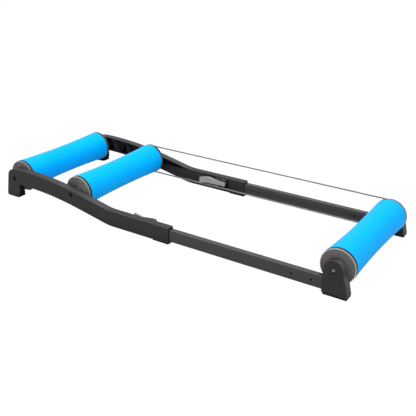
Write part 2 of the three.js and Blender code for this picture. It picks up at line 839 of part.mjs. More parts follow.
// Leans the outer face of a foot's plate in towards the middle plane, from its lower edge up
function leanIn(made, side) {
  const place = made.attributes.position;
  const lower_edge = foot.sole + foot.edge;
  for (let i = 0; i < place.count; i++) {
    if (side * place.getY(i) < foot_outer - foot.plate / 2) continue;
    const rise = Math.max(0, place.getZ(i) - lower_edge);
    place.setY(i, place.getY(i) - side * foot.lean_share * rise);
  }
  return made;
}

function footBody(side) {
  const step_y = foot_outer - foot.plate;
  const full = sidePlate(footOutline(0), side, step_y, foot_outer, foot.edge, 6);
  const plate_part = solid(leanIn(full, side));
  const joint_y = step_y + foot.edge + cut_bite;
  const block_part = solid(sidePlate(footOutline(foot.slim), side, foot_inner, joint_y, foot.edge, 6));
  const socket = sideBlock(
    front_x - foot.heel - cut_overrun,
    tube_front + fit_gap,
    side,
    rail_centre - tube.width / 2 - fit_gap,
    rail_centre + tube.width / 2 + fit_gap,
    tube.bottom - fit_gap,
    tube_top + fit_gap,
  );
  const boss_start = bearing_outside + fit_gap;
  const boss = rod(collar.radius, front_x, axle_height, side, boss_start, rail_centre, small_facets);
  const bore = rod(axle.radius + fit_gap, front_x, axle_height, side, bearing_inside, foot_outer);
  const recess = rod(
    axle_recess.foot_radius,
    front_x,
    axle_height,
    side,
    foot_axle_end - fit_gap,
    foot_outer + cut_overrun,
    small_facets,
  );
  const cuts = [solid(socket), solid(bore), solid(recess), footBolt(side, fit_gap, cut_overrun)];
  return cut(join(block_part, plate_part, solid(boss)), ...cuts);
}

function footBolt(side, grow, overrun) {
  const head_in = foot_inner + foot.bolt_head_height;
  const shank_end = rail_centre + tube.width / 2 + foot.bolt_head_height;
  const head_radius = foot.bolt_head_radius + grow;
  return join(
    solid(rod(foot.bolt_radius + grow, front_x, foot_bolt_z, side, head_in - grow, shank_end + grow)),
    solid(rod(head_radius, front_x, foot_bolt_z, side, foot_inner - overrun, head_in + grow)),
  );
}

function footSole(side) {
  const heel_x = front_x - foot.heel + foot.heel_chamfer;
  const toe_x = front_x + foot.toe - foot.sole_inset;
  return sideBlock(
    heel_x,
    toe_x,
    side,
    foot_inner + foot.sole_inset,
    foot_outer - foot.sole_inset,
    0,
    foot.sole - fit_gap,
  );
}

function midPad(side) {
  const rear_x = rail.end - mid_pad.length;
  const top = rail.low_top - rail.depth_front - fit_gap;
  const outline = shapeOf([
    [rear_x + mid_pad.end_chamfer, 0],
    [rail.end - mid_pad.end_chamfer, 0],
    [rail.end - fit_gap, top],
    [rear_x, top],
  ]);
  return sidePlate(outline, side, rail_centre - mid_pad.inner, rail_centre + mid_pad.outer);
}

for (const [place, side] of sides) {
  add(`outer_rail_${place}`, geometryOf(railBody(side)), black_plastic);
  const foot_inside = rail_centre - rear_foot.inner;
  const foot_outside = rail_centre + rear_foot.outer;
  add(`rear_foot_${place}`, sidePlate(rearFootOutline(0), side, foot_inside, foot_outside), rubber);
  add(`middle_pad_${place}`, midPad(side), rubber);
  add(`mouth_guide_${place}`, mouthGuide(side), rubber);
  add(`latch_housing_${place}`, geometryOf(housing(side)), black_plastic);
  const screw_end = rail_centre - channel_half;
  for (const [level, z] of latch_screws) {
    add(`latch_screw_${level}_${place}`, geometryOf(latchScrew(side, z, 0, screw_end)), steel);
  }
  const pin = upright(latch.pin_radius, latch.pivot_x, side * pivot_y, ear_bottom, ear_top);
  add(`latch_pin_${place}`, pin, steel);
  add(`latch_lever_${place}`, geometryOf(leverArm(side)), lever_grey);
  add(`latch_shoe_${place}`, gripShoe(side), rubber);
  add(`inner_tube_${place}`, geometryOf(innerTube(side)), tube_paint);
  add(`tube_glide_${place}`, geometryOf(tubeGlide(side)), black_plastic);
  add(`front_foot_${place}`, geometryOf(footBody(side)), black_plastic);
  add(`front_foot_bolt_${place}`, geometryOf(footBolt(side, 0, 0)), steel);
  add(`front_foot_sole_${place}`, footSole(side), rubber);
}

rollers.position.x = -(overall_back + overall_front) / 2;

export default rollers;
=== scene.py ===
import math

import bmesh
import bpy
from bpy.props import FloatProperty, FloatVectorProperty, IntProperty, PointerProperty
from bpy.types import Operator, Panel, PropertyGroup
from mathutils import Matrix, Vector
from mathutils.geometry import interpolate_bezier


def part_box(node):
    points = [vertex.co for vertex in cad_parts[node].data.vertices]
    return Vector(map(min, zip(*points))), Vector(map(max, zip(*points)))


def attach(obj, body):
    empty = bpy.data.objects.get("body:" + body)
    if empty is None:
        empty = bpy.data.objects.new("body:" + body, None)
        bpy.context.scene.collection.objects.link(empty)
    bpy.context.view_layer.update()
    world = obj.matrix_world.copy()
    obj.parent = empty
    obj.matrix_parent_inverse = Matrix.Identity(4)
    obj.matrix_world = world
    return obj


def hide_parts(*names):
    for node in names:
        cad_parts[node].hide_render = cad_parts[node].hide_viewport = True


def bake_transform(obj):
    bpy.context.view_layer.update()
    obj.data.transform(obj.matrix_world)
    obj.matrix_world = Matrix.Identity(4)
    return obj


bl_info = {
    "name": "Bike rollers",
    "version": (1, 0, 0),
    "blender": (4, 5, 0),
    "location": "3D View > Sidebar > Rollers",
    "description": "Builds the visible pieces of a set of bike rollers around their packed frame",
    "category": "Object",
}

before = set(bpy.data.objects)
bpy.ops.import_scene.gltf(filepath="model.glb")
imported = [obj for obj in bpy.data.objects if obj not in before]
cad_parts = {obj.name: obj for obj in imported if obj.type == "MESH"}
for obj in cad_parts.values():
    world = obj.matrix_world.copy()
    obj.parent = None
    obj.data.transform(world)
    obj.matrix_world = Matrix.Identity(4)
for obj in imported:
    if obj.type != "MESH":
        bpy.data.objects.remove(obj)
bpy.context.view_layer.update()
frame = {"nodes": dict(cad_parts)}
SIDES = (("left", 1), ("right", -1))
ROLLERS = ("rear", "middle", "front")
ENDS = [(roller, word, side) for roller in ROLLERS for word, side in SIDES]


def centre_of(node):
    """The middle of a frame node's box."""
    low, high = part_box(node)
    return (Vector(low) + Vector(high)) / 2


AXLE = {roller: centre_of(f"{roller}_drum") for roller in ROLLERS}
AXLE_HEIGHT = AXLE["rear"].z
ALONG = {roller: AXLE[roller].x - AXLE["rear"].x for roller in ROLLERS}
SPAN = ALONG["middle"]
REACH = ALONG["front"]

# The changes that a Boolean makes
CUT, JOIN, KEEP = "DIFFERENCE", "UNION", "INTERSECT"
WHITE = (1.0, 1.0, 1.0)

# Small sizes that a user has no need to change, in metres
BORE_RADIUS = 0.0043  # of an axle's hole in a rail or foot
BEARING_INSET = 0.002  # from the cap's face to the bearing
BEARING_LENGTH = 0.007
BEARING_EDGE = 0.0003
BEARING_STOP = 0.002  # how far the cap reaches in behind the bearing
HUB_DEPTH = 0.018
HUB_FOOT = (0.001, 0.0008)  # slope at the foot of the collar, across and up
HUB_EDGE = 0.0004
WEB = 0.006  # thickness of the cap's face
SPIGOT_GAP = 0.0014  # from the cap's spigot to the drum's wall
SPIGOT_DEPTH = 0.013
SPIGOT_WALL = 0.005
RIM_WIDTH = 0.0036
RIM_STEP = 0.0008
RING_MARGIN = 0.003  # from the rim to the first ring
HUB_MARGIN = 0.004  # from the last ring to the collar
RING_SLOPE = 0.0007
RING_WIDTH = 0.0029
LUG_EDGE = 0.0006
RIB_BITE = 0.001  # how far the ribs run into the pocket's walls
FOOT_EDGE = 0.0008
PAD_SLOPE = 0.002
PAD_EDGE = 0.0005
GUIDE_EDGE = 0.0006
TUBE_EDGE = 0.0003
GLIDE_FLANGE = 0.003
GLIDE_PLUG = 0.024
GLIDE_EDGE = 0.0004
OVERLAP = 0.0005  # of the glide's plug and its flange
SOLE_EDGE = 0.0006
TOE_SLOPE = 0.0003
EAR_PROUD = 0.00005  # how far the housing's ears stand past its plate
HUB_SHORT = 0.001  # how far the lever's hub, before it is cut to height, stops under its arm
SHOE_GAP = 0.0005  # from the lever's hub to the shoe
SHOE_EDGE = 0.0006
SCREW_EDGE = 0.0004
HOUSING_EDGE = 0.0004
PIN_EDGE = 0.0003
PAST = 0.01  # how far a cut goes past what it cuts
FLOOR_SHADE_LINE = (0.0052, 0.0072)  # heights between which the painted shade near the floor, in the rubber's black, fades into the plastic

# Shares of other sizes
HEEL_KNOTS = (0.6, 0.4)  # of the leg's rounded heel, down and forward
LUG_RISE = 0.3  # of the lug's height, at the last knot of its front
EAR_FRONT = 0.8  # of the housing's front, where its ear's slope turns
SCREW_SOCKET = (0.5, 0.35)  # of the head's radius and of the plate's thickness
FOOT_SOCKET = 0.7  # of the axle bolt's socket depth

# Looks
MOULD_RINGS = 5200.0  # radians for each metre of radius
HALFWAY = 0.7  # makes up plus forward about 1 where a face looks halfway between them
LIT_SLANT = (0.72, 0.95)  # between which the painted light on faces looking up and forward comes in
FLOOR_SIZE = 14.0
FLOOR_GLOW = 1.06  # strength of the white that the camera sees on the floor
GLOW_SHARE = 0.93  # its share; the rest shows the object's shadow

# Steps of the curved outlines
DRUM_STEPS = 44
GROOVE_STEPS = 8
RIM_STEPS = 4
DOME_STEPS = 24

# Knots of the rail's two curves, as shares of the bend's length and of its fall
BEND = (
    (0.0, 0.0),
    (0.26, 0.036),
    (0.446, 0.198),
    (0.68, 0.577),
    (0.847, 0.838),
    (0.906, 0.94),
    (0.941, 1.0),
    (1.0, 1.0),
)

# Knots of the front foot's curve, from its dome: ahead of it and below the axle
TOE_CURVE = ((0.0118, 0.034), (0.0058, 0.020), (0.0012, 0.010), (0.0, 0.0))

# Shares of the lever's length, from the pin to the tip: where its curl starts and where it bends
CURL_START, CURL_BEND = 0.72, 0.80
CURL_DEPTH = 1 / 6  # share of the tip's flare where it bends

# The same from the tip to the pin: its lowest edge's end, its hump's rise and its fall to the tip
BELLY = 0.4
HUMP = (0.70, 0.52, 0.42, 0.295)
FALL = (0.27, 0.22, 0.12, 0.0)
FALL_DROP = 0.7  # share of the fall's height at its third knot


def size_of(label, text, default):
    return FloatProperty(name=label, description=text, default=default, unit="LENGTH", precision=5)


def colour_of(label, text, default):
    return FloatVectorProperty(
        name=label, description=text, default=default, subtype="COLOR", size=3, min=0.0, max=1.0
    )


class RollerDrumSettings(PropertyGroup):
    """Sizes of the drums and their end caps"""

    half_length: size_of("Half length", "From the middle plane to the drum's end", 0.1965)
    end_radius: size_of("End radius", "Radius at the drum's ends", 0.055)
    waist_radius: size_of("Waist radius", "Radius in the middle", 0.050)
    wall: size_of("Wall", "Thickness of the drum's wall", 0.0035)
    edge: size_of("Edge", "Rounding of the drum's ends", 0.0006)
    cap_radius: size_of("Cap radius", "Radius of the end cap's rim", 0.0546)
    cap_face: size_of("Cap face", "From the middle plane to the cap's face", 0.2084)
    flange: size_of("Flange", "Thickness of the cap's inner flange", 0.0022)
    groove: size_of("Groove", "Depth of the belt groove", 0.0052)
    rim: size_of("Rim", "Thickness of the cap's outer rim", 0.0034)
    rim_round: size_of("Rim rounding", "Rounding of the rim towards the face", 0.0019)
    rim_slope: size_of("Rim slope", "Slope from the groove up to the rim", 0.0012)
    flange_slope: size_of("Flange slope", "Slope from the groove up to the flange", 0.0007)
    dish: size_of("Dish", "How far the cap's face is sunk inside its rim", 0.0014)
    ring_height: size_of("Ring height", "Height of the rings on the cap's face", 0.0012)
    hub_radius: size_of("Hub radius", "Radius of the collar round the bearing", 0.0155)
    hub_stand: size_of("Hub stand", "How far the collar stands out of the face", 0.0006)
    ring_count: IntProperty(name="Rings", description="Rings on the cap's face", default=6, min=1)
    facets: IntProperty(name="Facets", description="Facets of a drum's circle", default=112, min=12)


class RollerAxleSettings(PropertyGroup):
    """Sizes of the bearings, axles and bolts"""

    axle_radius: size_of("Axle radius", "Radius in the bearing", 0.004)
    shoulder_radius: size_of("Shoulder radius", "Radius between the bearings", 0.0055)
    bearing_radius: size_of("Bearing radius", "Outer radius of the bearing", 0.011)
    bearing_bore: size_of("Bearing bore", "Inner radius of the bearing", 0.0043)
    race: size_of("Race", "Thickness of the bearing's races", 0.0018)
    shield: size_of("Shield", "How far the bearing's shield is sunk", 0.0006)
    head_radius: size_of("Head radius", "Radius of the axle bolt's head", 0.0047)
    head_height: size_of("Head height", "Height of the axle bolt's head", 0.004)
    socket_radius: size_of("Socket radius", "Radius of the hexagon socket's corners", 0.0023)
    socket_depth: size_of("Socket depth", "Depth of the hexagon socket", 0.0034)
    chamfer: size_of("Chamfer", "Chamfer of heads and axle ends", 0.0005)


class RollerRailSettings(PropertyGroup):
    """Sizes of the outer rails, measured from the rear axle and from the floor"""

    centre: size_of("Centre", "From the middle plane to the rail's centre", 0.233)
    width: size_of("Width", "Width of the rail", 0.028)
    back: size_of("Back", "From the rear axle to the leg's back, near the floor", 0.0452)
    back_top: size_of("Back top", "The same at the top of the leaning back", 0.0318)
    end: size_of("End", "From the rear axle to the rail's mouth", 0.689)
    high_top: size_of("High top", "Top of the rail over the rear axle", 0.112)
    low_top: size_of("Low top", "Top of the rail along the floor", 0.0565)
    depth_rear: size_of("Rear depth", "Depth of the rail at its high end", 0.056)
    depth_front: size_of("Front depth", "Depth of the rail at its low end", 0.0535)
    bend_start: size_of("Bend start", "Where the bend starts", 0.041)
    bend_end: size_of("Bend end", "Where the bend ends", 0.465)
    back_height: size_of("Back height", "Top of the leaning back", 0.082)
    shoulder_in: size_of("Shoulder in", "How much further in the shoulder's curve starts", 0.004)
    shoulder_drop: size_of("Shoulder drop", "How far under the rail's top it starts", 0.002)
    leg_front: size_of("Leg front", "Front of the leg", 0.020)
    leg_bottom: size_of("Leg bottom", "Bottom of the leg", 0.002)
    leg_radius: size_of("Leg radius", "Rounding of the leg's heel", 0.009)
    toe_rise: size_of("Toe rise", "Height of the leg's sloping front", 0.018)
    toe_run: size_of("Toe run", "Length of the leg's sloping front", 0.009)
    edge: size_of("Edge", "Rounding of the rail's long edges", 0.0016)
    wall: size_of("Wall", "Thickness of the rail's top and bottom", 0.005)
    skin: size_of("Skin", "Thickness of the rail's outer face", 0.0028)
    lip: size_of("Lip", "Thickness of the top wall over the pocket", 0.003)
    roof: size_of("Roof", "Thickness over the tube's channel", 0.0024)
    boss_radius: size_of("Boss radius", "Radius of the boss round an axle", 0.015)
    collar_radius: size_of("Collar radius", "Radius of the collar against a bearing", 0.0075)
    rib: size_of("Rib", "Thickness of a rib", 0.0024)
    rib_inset: size_of("Rib inset", "From the rail's inner face to the ribs", 0.0032)
    ribs_start: size_of("Ribs start", "Where the pocket and its ribs start", 0.024)
    ribs_end: size_of("Ribs end", "Where the ribs end", 0.262)
    rib_count: IntProperty(name="Ribs", description="Number of leaning ribs", default=7, min=1)
    lug_start: size_of("Lug start", "Rear of the lug under the rail", 0.050)
    lug_end: size_of("Lug end", "Front of the lug under the rail", 0.092)
    lug_bottom: size_of("Lug bottom", "Bottom of the lug", 0.0445)
    lug_inset: size_of("Lug inset", "From the rail's outer face to the lug's", 0.0004)
    lug_radius: size_of("Lug radius", "Rounding of the lug's rear", 0.009)
    lug_curve: size_of("Lug curve", "Length of the lug's rounded front", 0.030)
    recess_radius: size_of("Recess radius", "Radius of the bolt recess", 0.009)
    recess_depth: size_of("Recess depth", "Depth of the bolt recess", 0.0138)
    foot_back: size_of("Foot back", "From the rear axle to the rubber foot's back", 0.033)
    foot_inner: size_of("Foot inner", "From the rail's centre to the rubber foot's inner face", 0.012)
    foot_outer: size_of("Foot outer", "From the rail's centre to the rubber foot's outer face", 0.0105)
    foot_contact: size_of("Foot contact", "Front of the rubber foot's sole", -0.002)
    foot_step: size_of("Foot step", "Where the rubber foot's step starts", 0.003)
    foot_step_height: size_of("Foot step height", "Height of the rubber foot's step", 0.007)
    foot_top: size_of("Foot top", "Top of the rubber foot in the leg", 0.048)
    pad_length: size_of("Pad length", "Length of the pad under the rail's mouth", 0.064)
    pad_outer: size_of("Pad outer", "From the rail's centre to the pad's outer face", 0.0125)
    guide_length: size_of("Guide length", "Length of the mouth's lining", 0.040)
    gap: size_of("Gap", "Clearance of fitted pieces", 0.0003)


class RollerTubeSettings(PropertyGroup):
    """Sizes of the inner tubes and front feet"""

    width: size_of("Width", "Width of the tube", 0.020)
    height: size_of("Height", "Height of the tube", 0.040)
    bottom: size_of("Bottom", "From the floor to the tube", 0.010)
    wall: size_of("Wall", "Wall of the tube", 0.0015)
    corner: size_of("Corner", "Rounding of the tube's corners", 0.0028)
    channel_gap: size_of("Channel gap", "From the tube to the rail's walls", 0.0016)
    hole_radius: size_of("Hole radius", "Radius of the setting holes", 0.0033)
    hole_pitch: size_of("Hole pitch", "Spacing of the setting holes", 0.062)
    foot_width: size_of("Foot width", "Width of the front foot", 0.033)
    heel: size_of("Heel", "From the axle to the foot's rear edge", 0.0285)
    heel_in: size_of("Heel in", "How much further forward the heel is at the floor", 0.001)
    toe: size_of("Toe", "From the axle to the foot's front", 0.0495)
    dome_radius: size_of("Dome radius", "Radius of the foot's dome", 0.0316)
    plate: size_of("Plate", "Thickness of the foot's outer plate", 0.016)
    slim: size_of("Slim", "How much smaller the dome is behind the plate", 0.0008)
    sole: size_of("Sole", "Height of the rubber sole", 0.003)
    sole_inset: size_of("Sole inset", "From the foot's edge to the sole's", 0.0005)
    heel_chamfer: size_of("Heel chamfer", "Chamfer under the foot's heel", 0.005)
    toe_lift: size_of("Toe lift", "Height of the foot's upright toe", 0.0085)
    edge: size_of("Edge", "Rounding of the foot's edges", 0.0024)
    lean_share: FloatProperty(
        name="Lean", description="How far the outer face leans in, for each length up", default=0.105
    )
    recess_radius: size_of("Recess radius", "Radius of the bolt recess", 0.0076)
    recess_depth: size_of("Recess depth", "Depth of the bolt recess, from the foot's widest", 0.0163)
    bolt_radius: size_of("Bolt radius", "Radius of the foot's bolt head", 0.0045)
    bolt_height: size_of("Bolt height", "Height of the foot's bolt head", 0.0028)


class RollerClampSettings(PropertyGroup):
    """Sizes of the clamps on the rails' inner faces"""

    pivot_x: size_of("Pivot", "From the rear axle to the lever's pin", 0.609)
    pivot_out: size_of("Pivot out", "From the rail's centre to the pin", 0.024)
    pin_radius: size_of("Pin radius", "Radius of the pin", 0.002)
    plate: size_of("Plate", "Thickness of the housing's plate", 0.0031)
    ear: size_of("Ear", "Thickness of the housing's ears", 0.0055)
    ear_top: size_of("Ear top", "Top of the housing", 0.0538)
    ear_bottom: size_of("Ear bottom", "Bottom of the housing", 0.0175)
    back: size_of("Back", "From the pin to the housing's rear edge", 0.043)
    front: size_of("Front", "From the pin to the housing's front edge", 0.0125)
    ear_reach: size_of("Ear reach", "How far the ears go past the pin", 0.0042)
    cam_radius: size_of("Cam radius", "Radius of the lever's eccentric hub", 0.0046)
    cam_offset: size_of("Cam offset", "From the pin to the hub's centre", 0.0016)
    screw_head: size_of("Screw head", "Radius of the housing's screw heads", 0.0032)
    screw_inset: size_of("Screw inset", "From the housing's rear edge to its screws", 0.007)
    screw_rise: size_of("Screw rise", "From the tube's centre line to a screw", 0.009)
    shoe_length: size_of("Shoe length", "Length of the rubber shoe", 0.026)
    shoe_height: size_of("Shoe height", "Height of the rubber shoe", 0.016)
    lever_length: size_of("Lever length", "From the pin to the lever's tip", 0.096)
    lever_end: size_of("Lever end", "How far the arm goes past the pin", 0.0042)
    lever_thickness: size_of("Lever thickness", "Thickness of the lever", 0.007)
    lever_flare: size_of("Lever flare", "How far the tip stands off", 0.0195)
    lever_bottom: size_of("Lever bottom", "Bottom of the lever", 0.0282)
    tip_bottom: size_of("Tip bottom", "Bottom of the lever's tip", 0.0298)
    lever_top: size_of("Lever top", "Top of the lever at the pin", 0.0463)
    tip_top: size_of("Tip top", "Top of the lever's tip", 0.0490)
    peak: size_of("Peak", "Highest point of the lever", 0.0515)
    nose: size_of("Nose", "Rounding of the arm's end", 0.004)
    edge: size_of("Edge", "Rounding of moulded edges", 0.0009)


class RollerBeltSettings(PropertyGroup):
    """Sizes of the round drive belt"""

    radius: size_of("Radius", "Radius of the belt's section", 0.0025)
    groove_gap: size_of("Groove gap", "From the groove's floor to the belt", 0.0005)
    run_steps: IntProperty(name="Run steps", description="Cuts along a straight run", default=64, min=8)
    arc_steps: IntProperty(name="Arc steps", description="Steps round a drum", default=32, min=8)
    sides: IntProperty(name="Sides", description="Sides of the belt's section", default=14, min=6)


class RollerFinishSettings(PropertyGroup):
    """Colours of the finishes"""

    drum: colour_of("Drum", "Moulded drum", (0.0, 0.412, 0.97))
    drum_deep: colour_of("Drum, deeper", "Deeper tint in the drum's plastic", (0.0, 0.394, 0.95))
    cap: colour_of("Cap", "End cap", (0.26, 0.25, 0.24))
    # Painted highlight: the pale colour of the rim's rounded edge, where it catches the light
    cap_rim: colour_of("Cap rim", "Polished edge of the end cap", (0.46, 0.455, 0.44))
    frame: colour_of("Frame", "Moulded rails and feet", (0.0135, 0.0120, 0.0120))
    frame_pale: colour_of("Frame, paler", "Paler grain in rails and feet", (0.0210, 0.0188, 0.0188))
    # Painted light: a paler, bluish tint for faces that look up and forward, where the light falls
    frame_painted_light: colour_of("Frame, worn", "Rails and feet, facing up and forward", (0.062, 0.06, 0.068))
    tube: colour_of("Tube", "Powder-coated tube", (0.026, 0.0255, 0.026))
    lever: colour_of("Lever", "Clamp lever", (0.33, 0.327, 0.312))
    belt: colour_of("Belt", "Drive belt", (0.145, 0.140, 0.136))
    rubber: colour_of("Rubber", "Feet and pads", (0.006, 0.006, 0.0065))
    steel: colour_of("Steel", "Axles, bolts and bearings", (0.55, 0.56, 0.58))
    ground: colour_of("Ground", "Floor and backdrop", (0.55, 0.55, 0.55))


class RollerStageSettings(PropertyGroup):
    """Camera and lamps"""

    camera_place: FloatVectorProperty(
        name="Camera place",
        description="Where the camera stands, from the rollers' origin",
        default=(1.23559, -1.79364, 0.98954),
        subtype="XYZ",
        unit="LENGTH",
        size=3,
    )
    camera_yaw: FloatProperty(
        name="Camera yaw", description="Turn from the +Y axis", default=-0.5822633, subtype="ANGLE"
    )
    camera_pitch: FloatProperty(
        name="Camera pitch", description="Angle below the horizon", default=0.4185597, subtype="ANGLE"
    )
    camera_roll: FloatProperty(
        name="Camera roll", description="Turn about the view", default=0.0032665, subtype="ANGLE"
    )
    shift: FloatVectorProperty(
        name="Shift", description="Shift of the picture's centre", default=(0.00055, -0.0005), size=2
    )
    lens: FloatProperty(
        name="Lens", description="Focal length", default=59.428, subtype="DISTANCE_CAMERA"
    )
    sky: FloatProperty(name="Sky", description="Strength of the even light", default=0.84, min=0.0)
    lamp: FloatProperty(
        name="Lamp", description="Power of the lamp overhead", default=46.0, subtype="POWER"
    )
    side_lamp: FloatProperty(
        name="Side lamp", description="Power of the lamp at the side", default=10.0, subtype="POWER"
    )


def settings(*names):
    """One group of settings, or a list of several groups."""
    groups = [getattr(bpy.context.scene, f"roller_{name}") for name in names]
    return groups if len(names) > 1 else groups[0]


# Shader maths


class Value:
    """A shader socket that Python's operators turn into Math nodes."""

    def __init__(self, graph, socket):
        self.graph = graph
        self.socket = socket

    def maths(self, operation, *others):
        return self.graph.make("ShaderNodeMath", {"operation": operation}, [self, *others])

    def __add__(self, other):
        return self.maths("ADD", other)

    def __sub__(self, other):
        return self.maths("SUBTRACT", other)

    def __rsub__(self, other):
        return self.graph.make("ShaderNodeMath", {"operation": "SUBTRACT"}, [other, self])

    def __mul__(self, other):
        return self.maths("MULTIPLY", other)

    def __pow__(self, other):
        return self.maths("POWER", other)

    __radd__ = __add__
    __rmul__ = __mul__


class Graph:
    """The node tree of a new material or world, with its first shader."""

    def __init__(self, owner, shader):
        owner.use_nodes = True
        self.tree = owner.node_tree
        self.shader = self.tree.nodes[shader]

    def make(self, kind, options, values, output=0):
        """A node of a kind, with its options set first and then the values or links of its sockets."""
        node = self.tree.nodes.new(kind)
        for key, option in options.items():
            setattr(node, key, option)
        pairs = values.items() if isinstance(values, dict) else enumerate(values)
        for key, value in pairs:
            self.feed(node.inputs[key], value)
        return Value(self, node.outputs[output])

    def feed(self, target, value):
        if isinstance(value, Value):
            self.tree.links.new(value.socket, target)
        elif target.type == "RGBA":
            target.default_value = (*value, 1.0)
        else:
            target.default_value = value

    def coordinate(self, name):
        return self.make("ShaderNodeTexCoord", {}, {}, name)

    def noise(self, where, scale, detail, roughness=0.5):
        """Noise of one scale, or of a scale for each axis."""
        if isinstance(scale, tuple):
            where = self.make("ShaderNodeVectorMath", {"operation": "MULTIPLY"}, [where, scale])
            scale = 1.0
        values = {"Vector": where, "Scale": scale, "Detail": detail, "Roughness": roughness}
        return self.make("ShaderNodeTexNoise", {}, values)

    def parts(self, where):
        """The X, Y and Z of a vector."""
        node = self.tree.nodes.new("ShaderNodeSeparateXYZ")
        self.feed(node.inputs[0], where)
        return [Value(self, output) for output in node.outputs]

    def blend(self, share, first, second):
        """A colour between two."""
        values = {0: share, 6: first, 7: second}
        return self.make("ShaderNodeMix", {"data_type": "RGBA"}, values, 2)

    def spread(self, value, low, high, floor=0.0, ceiling=1.0):
        """A value between low and high, spread over floor to ceiling."""
        values = {"Value": value, 1: low, 2: high, 3: floor, 4: ceiling}
        return self.make("ShaderNodeMapRange", {}, values)

    def bump(self, height, strength, distance):
        values = {"Strength": strength, "Distance": distance, "Height": height}
        return self.make("ShaderNodeBump", {}, values)

    def finish(self, **values):
        """Sets the first shader's sockets, which are named with _ for a space."""
        for key, value in values.items():
            self.feed(self.shader.inputs[key.replace("_", " ")], value)

    def shown_to_camera(self, seen, strength, output):
        """Mixes a shader that only the camera sees over the first one, by a strength."""
        camera_ray = self.make("ShaderNodeLightPath", {}, {}, "Is Camera Ray")
        values = {0: camera_ray * strength, 1: Value(self, self.shader.outputs[0]), 2: seen}
        both = self.make("ShaderNodeMixShader", {}, values)
        self.feed(self.tree.nodes[output].inputs["Surface"], both)


def paint(name, share=1.0):
    """A colour of the finishes, darker or paler by a share."""
    return tuple(channel * share for channel in getattr(settings("finish"), name))


def distance_from(centre, x, z):
    """How far a point is from the axle whose centre is given."""
    along = x - centre.x
    up = z - centre.z
    return (along * along + up * up) ** 0.5


# Finishes. Each fills a new material's graph; where is the Object coordinate.


def drum_plastic(g, where):
    """Glossy moulded plastic with a faint lathe grain and soft cloudiness."""
    cloud = g.noise(where, scale=9.0, detail=2.0)
    lathe_grain = g.noise(where, scale=(30.0, 2600.0, 30.0), detail=2.0)
    orange_peel = g.noise(where, scale=420.0, detail=2.0)
    scuffs = g.noise(where, scale=(900.0, 60.0, 900.0), detail=4.0, roughness=0.7)
    g.finish(
        Base_Color=g.blend(g.spread(cloud, 0.35, 0.65), paint("drum"), paint("drum_deep")),
        Roughness=g.spread(lathe_grain * 0.5 + scuffs * 0.5, 0.35, 0.7, 0.34, 0.46),
        Specular_IOR_Level=0.02,
        Coat_Weight=0.05,
        Coat_IOR=1.3,
        Coat_Roughness=0.15,
        Normal=g.bump(lathe_grain * 0.45 + orange_peel * 0.55, strength=0.12, distance=0.0003),
    )


def turned_plastic(g, where, centre):
    """Grey plastic with its mould's fine rings, painted shade in the valleys between the face's rings
    and in the belt groove, and a painted highlight on the rim.
    """
    drum = settings("drum")
    x, y, z = g.parts(where)
    radius = distance_from(centre, x, z)
    out = y.maths("ABSOLUTE")
    rings = (radius * MOULD_RINGS).maths("SINE") * 0.5 + 0.5
    speckle = g.noise(where, scale=700.0, detail=3.0)
    cloud = g.noise(where, scale=45.0, detail=2.0)
    tint = g.blend(g.spread(cloud * 0.6 + rings * 0.4, 0.25, 0.75), paint("cap", 0.72), paint("cap"))
    web = drum.cap_face - drum.dish
    # Painted shade: all that lies below the face's rings, their valleys and the belt groove, is
    # darkened
    tint = g.blend(g.spread(out, web, web + drum.ring_height), paint("cap", 0.26), tint)
    # Painted highlight: a pale band on the rim's rounded edge
    rim_start = drum.cap_radius - 2 * drum.rim_round
    rim_highlight = g.spread(radius, rim_start, rim_start + drum.rim_round)
    rim_highlight = rim_highlight * g.spread(out, drum.cap_face - drum.rim_round, drum.cap_face)
    g.finish(
        Base_Color=g.blend(rim_highlight, tint, paint("cap_rim")),
        Roughness=g.spread(speckle, 0.3, 0.7, 0.30, 0.44),
        Normal=g.bump(rings * 0.6 + speckle * 0.4, strength=0.3, distance=0.0002),
    )


def grained_plastic(g, where):
    """Black plastic with a spark-eroded grain, painted light on faces that look up and forward, and
    painted shade near the floor in the rubber's black.
    """
    cells = {"Vector": where, "Scale": 950.0}
    grain = g.make("ShaderNodeTexVoronoi", {"feature": "F1"}, cells, "Distance")
    fine = g.noise(where, scale=1500.0, detail=3.0, roughness=0.6)
    cloud = g.noise(where, scale=14.0, detail=3.0, roughness=0.55)
    flow = g.noise(where, scale=(12.0, 60.0, 60.0), detail=3.0)
    pale = g.spread(cloud * 0.5 + flow * 0.3 + fine * 0.2, 0.35, 0.65)
    tint = g.blend(pale, paint("frame"), paint("frame_pale"))
    # Painted light: faces that look up and forward get a paler tint
    forward, _, up = g.parts(g.coordinate("Normal"))
    slant = (forward + up) * HALFWAY
    tint = g.blend(g.spread(slant, *LIT_SLANT), tint, paint("frame_painted_light"))
    # Painted shade: near the floor the frame is darkened to the rubber's black
    height = g.parts(where)[2]
    g.finish(
        Base_Color=g.blend(g.spread(height, *FLOOR_SHADE_LINE), paint("rubber"), tint),
        Roughness=g.spread(fine * 0.6 + cloud * 0.4, 0.35, 0.65, 0.38, 0.54),
        Specular_IOR_Level=0.3,
        Normal=g.bump(grain * 0.5 + fine * 0.5, strength=0.35, distance=0.00025),
    )


def powder_coat(g, where):
    """Satin powder coat on steel, with its orange peel."""
    peel = g.noise(where, scale=340.0, detail=2.0)
    fine = g.noise(where, scale=2200.0, detail=2.0)
    streak = g.noise(where, scale=(5.0, 260.0, 260.0), detail=3.0)
    g.finish(
        Base_Color=g.blend(g.spread(streak, 0.35, 0.65), paint("tube"), paint("tube", 1.35)),
        Roughness=g.spread(peel * 0.5 + streak * 0.5, 0.35, 0.65, 0.24, 0.36),
        Specular_IOR_Level=0.42,
        Normal=g.bump(peel * 0.8 + fine * 0.2, strength=0.18, distance=0.0004),
    )


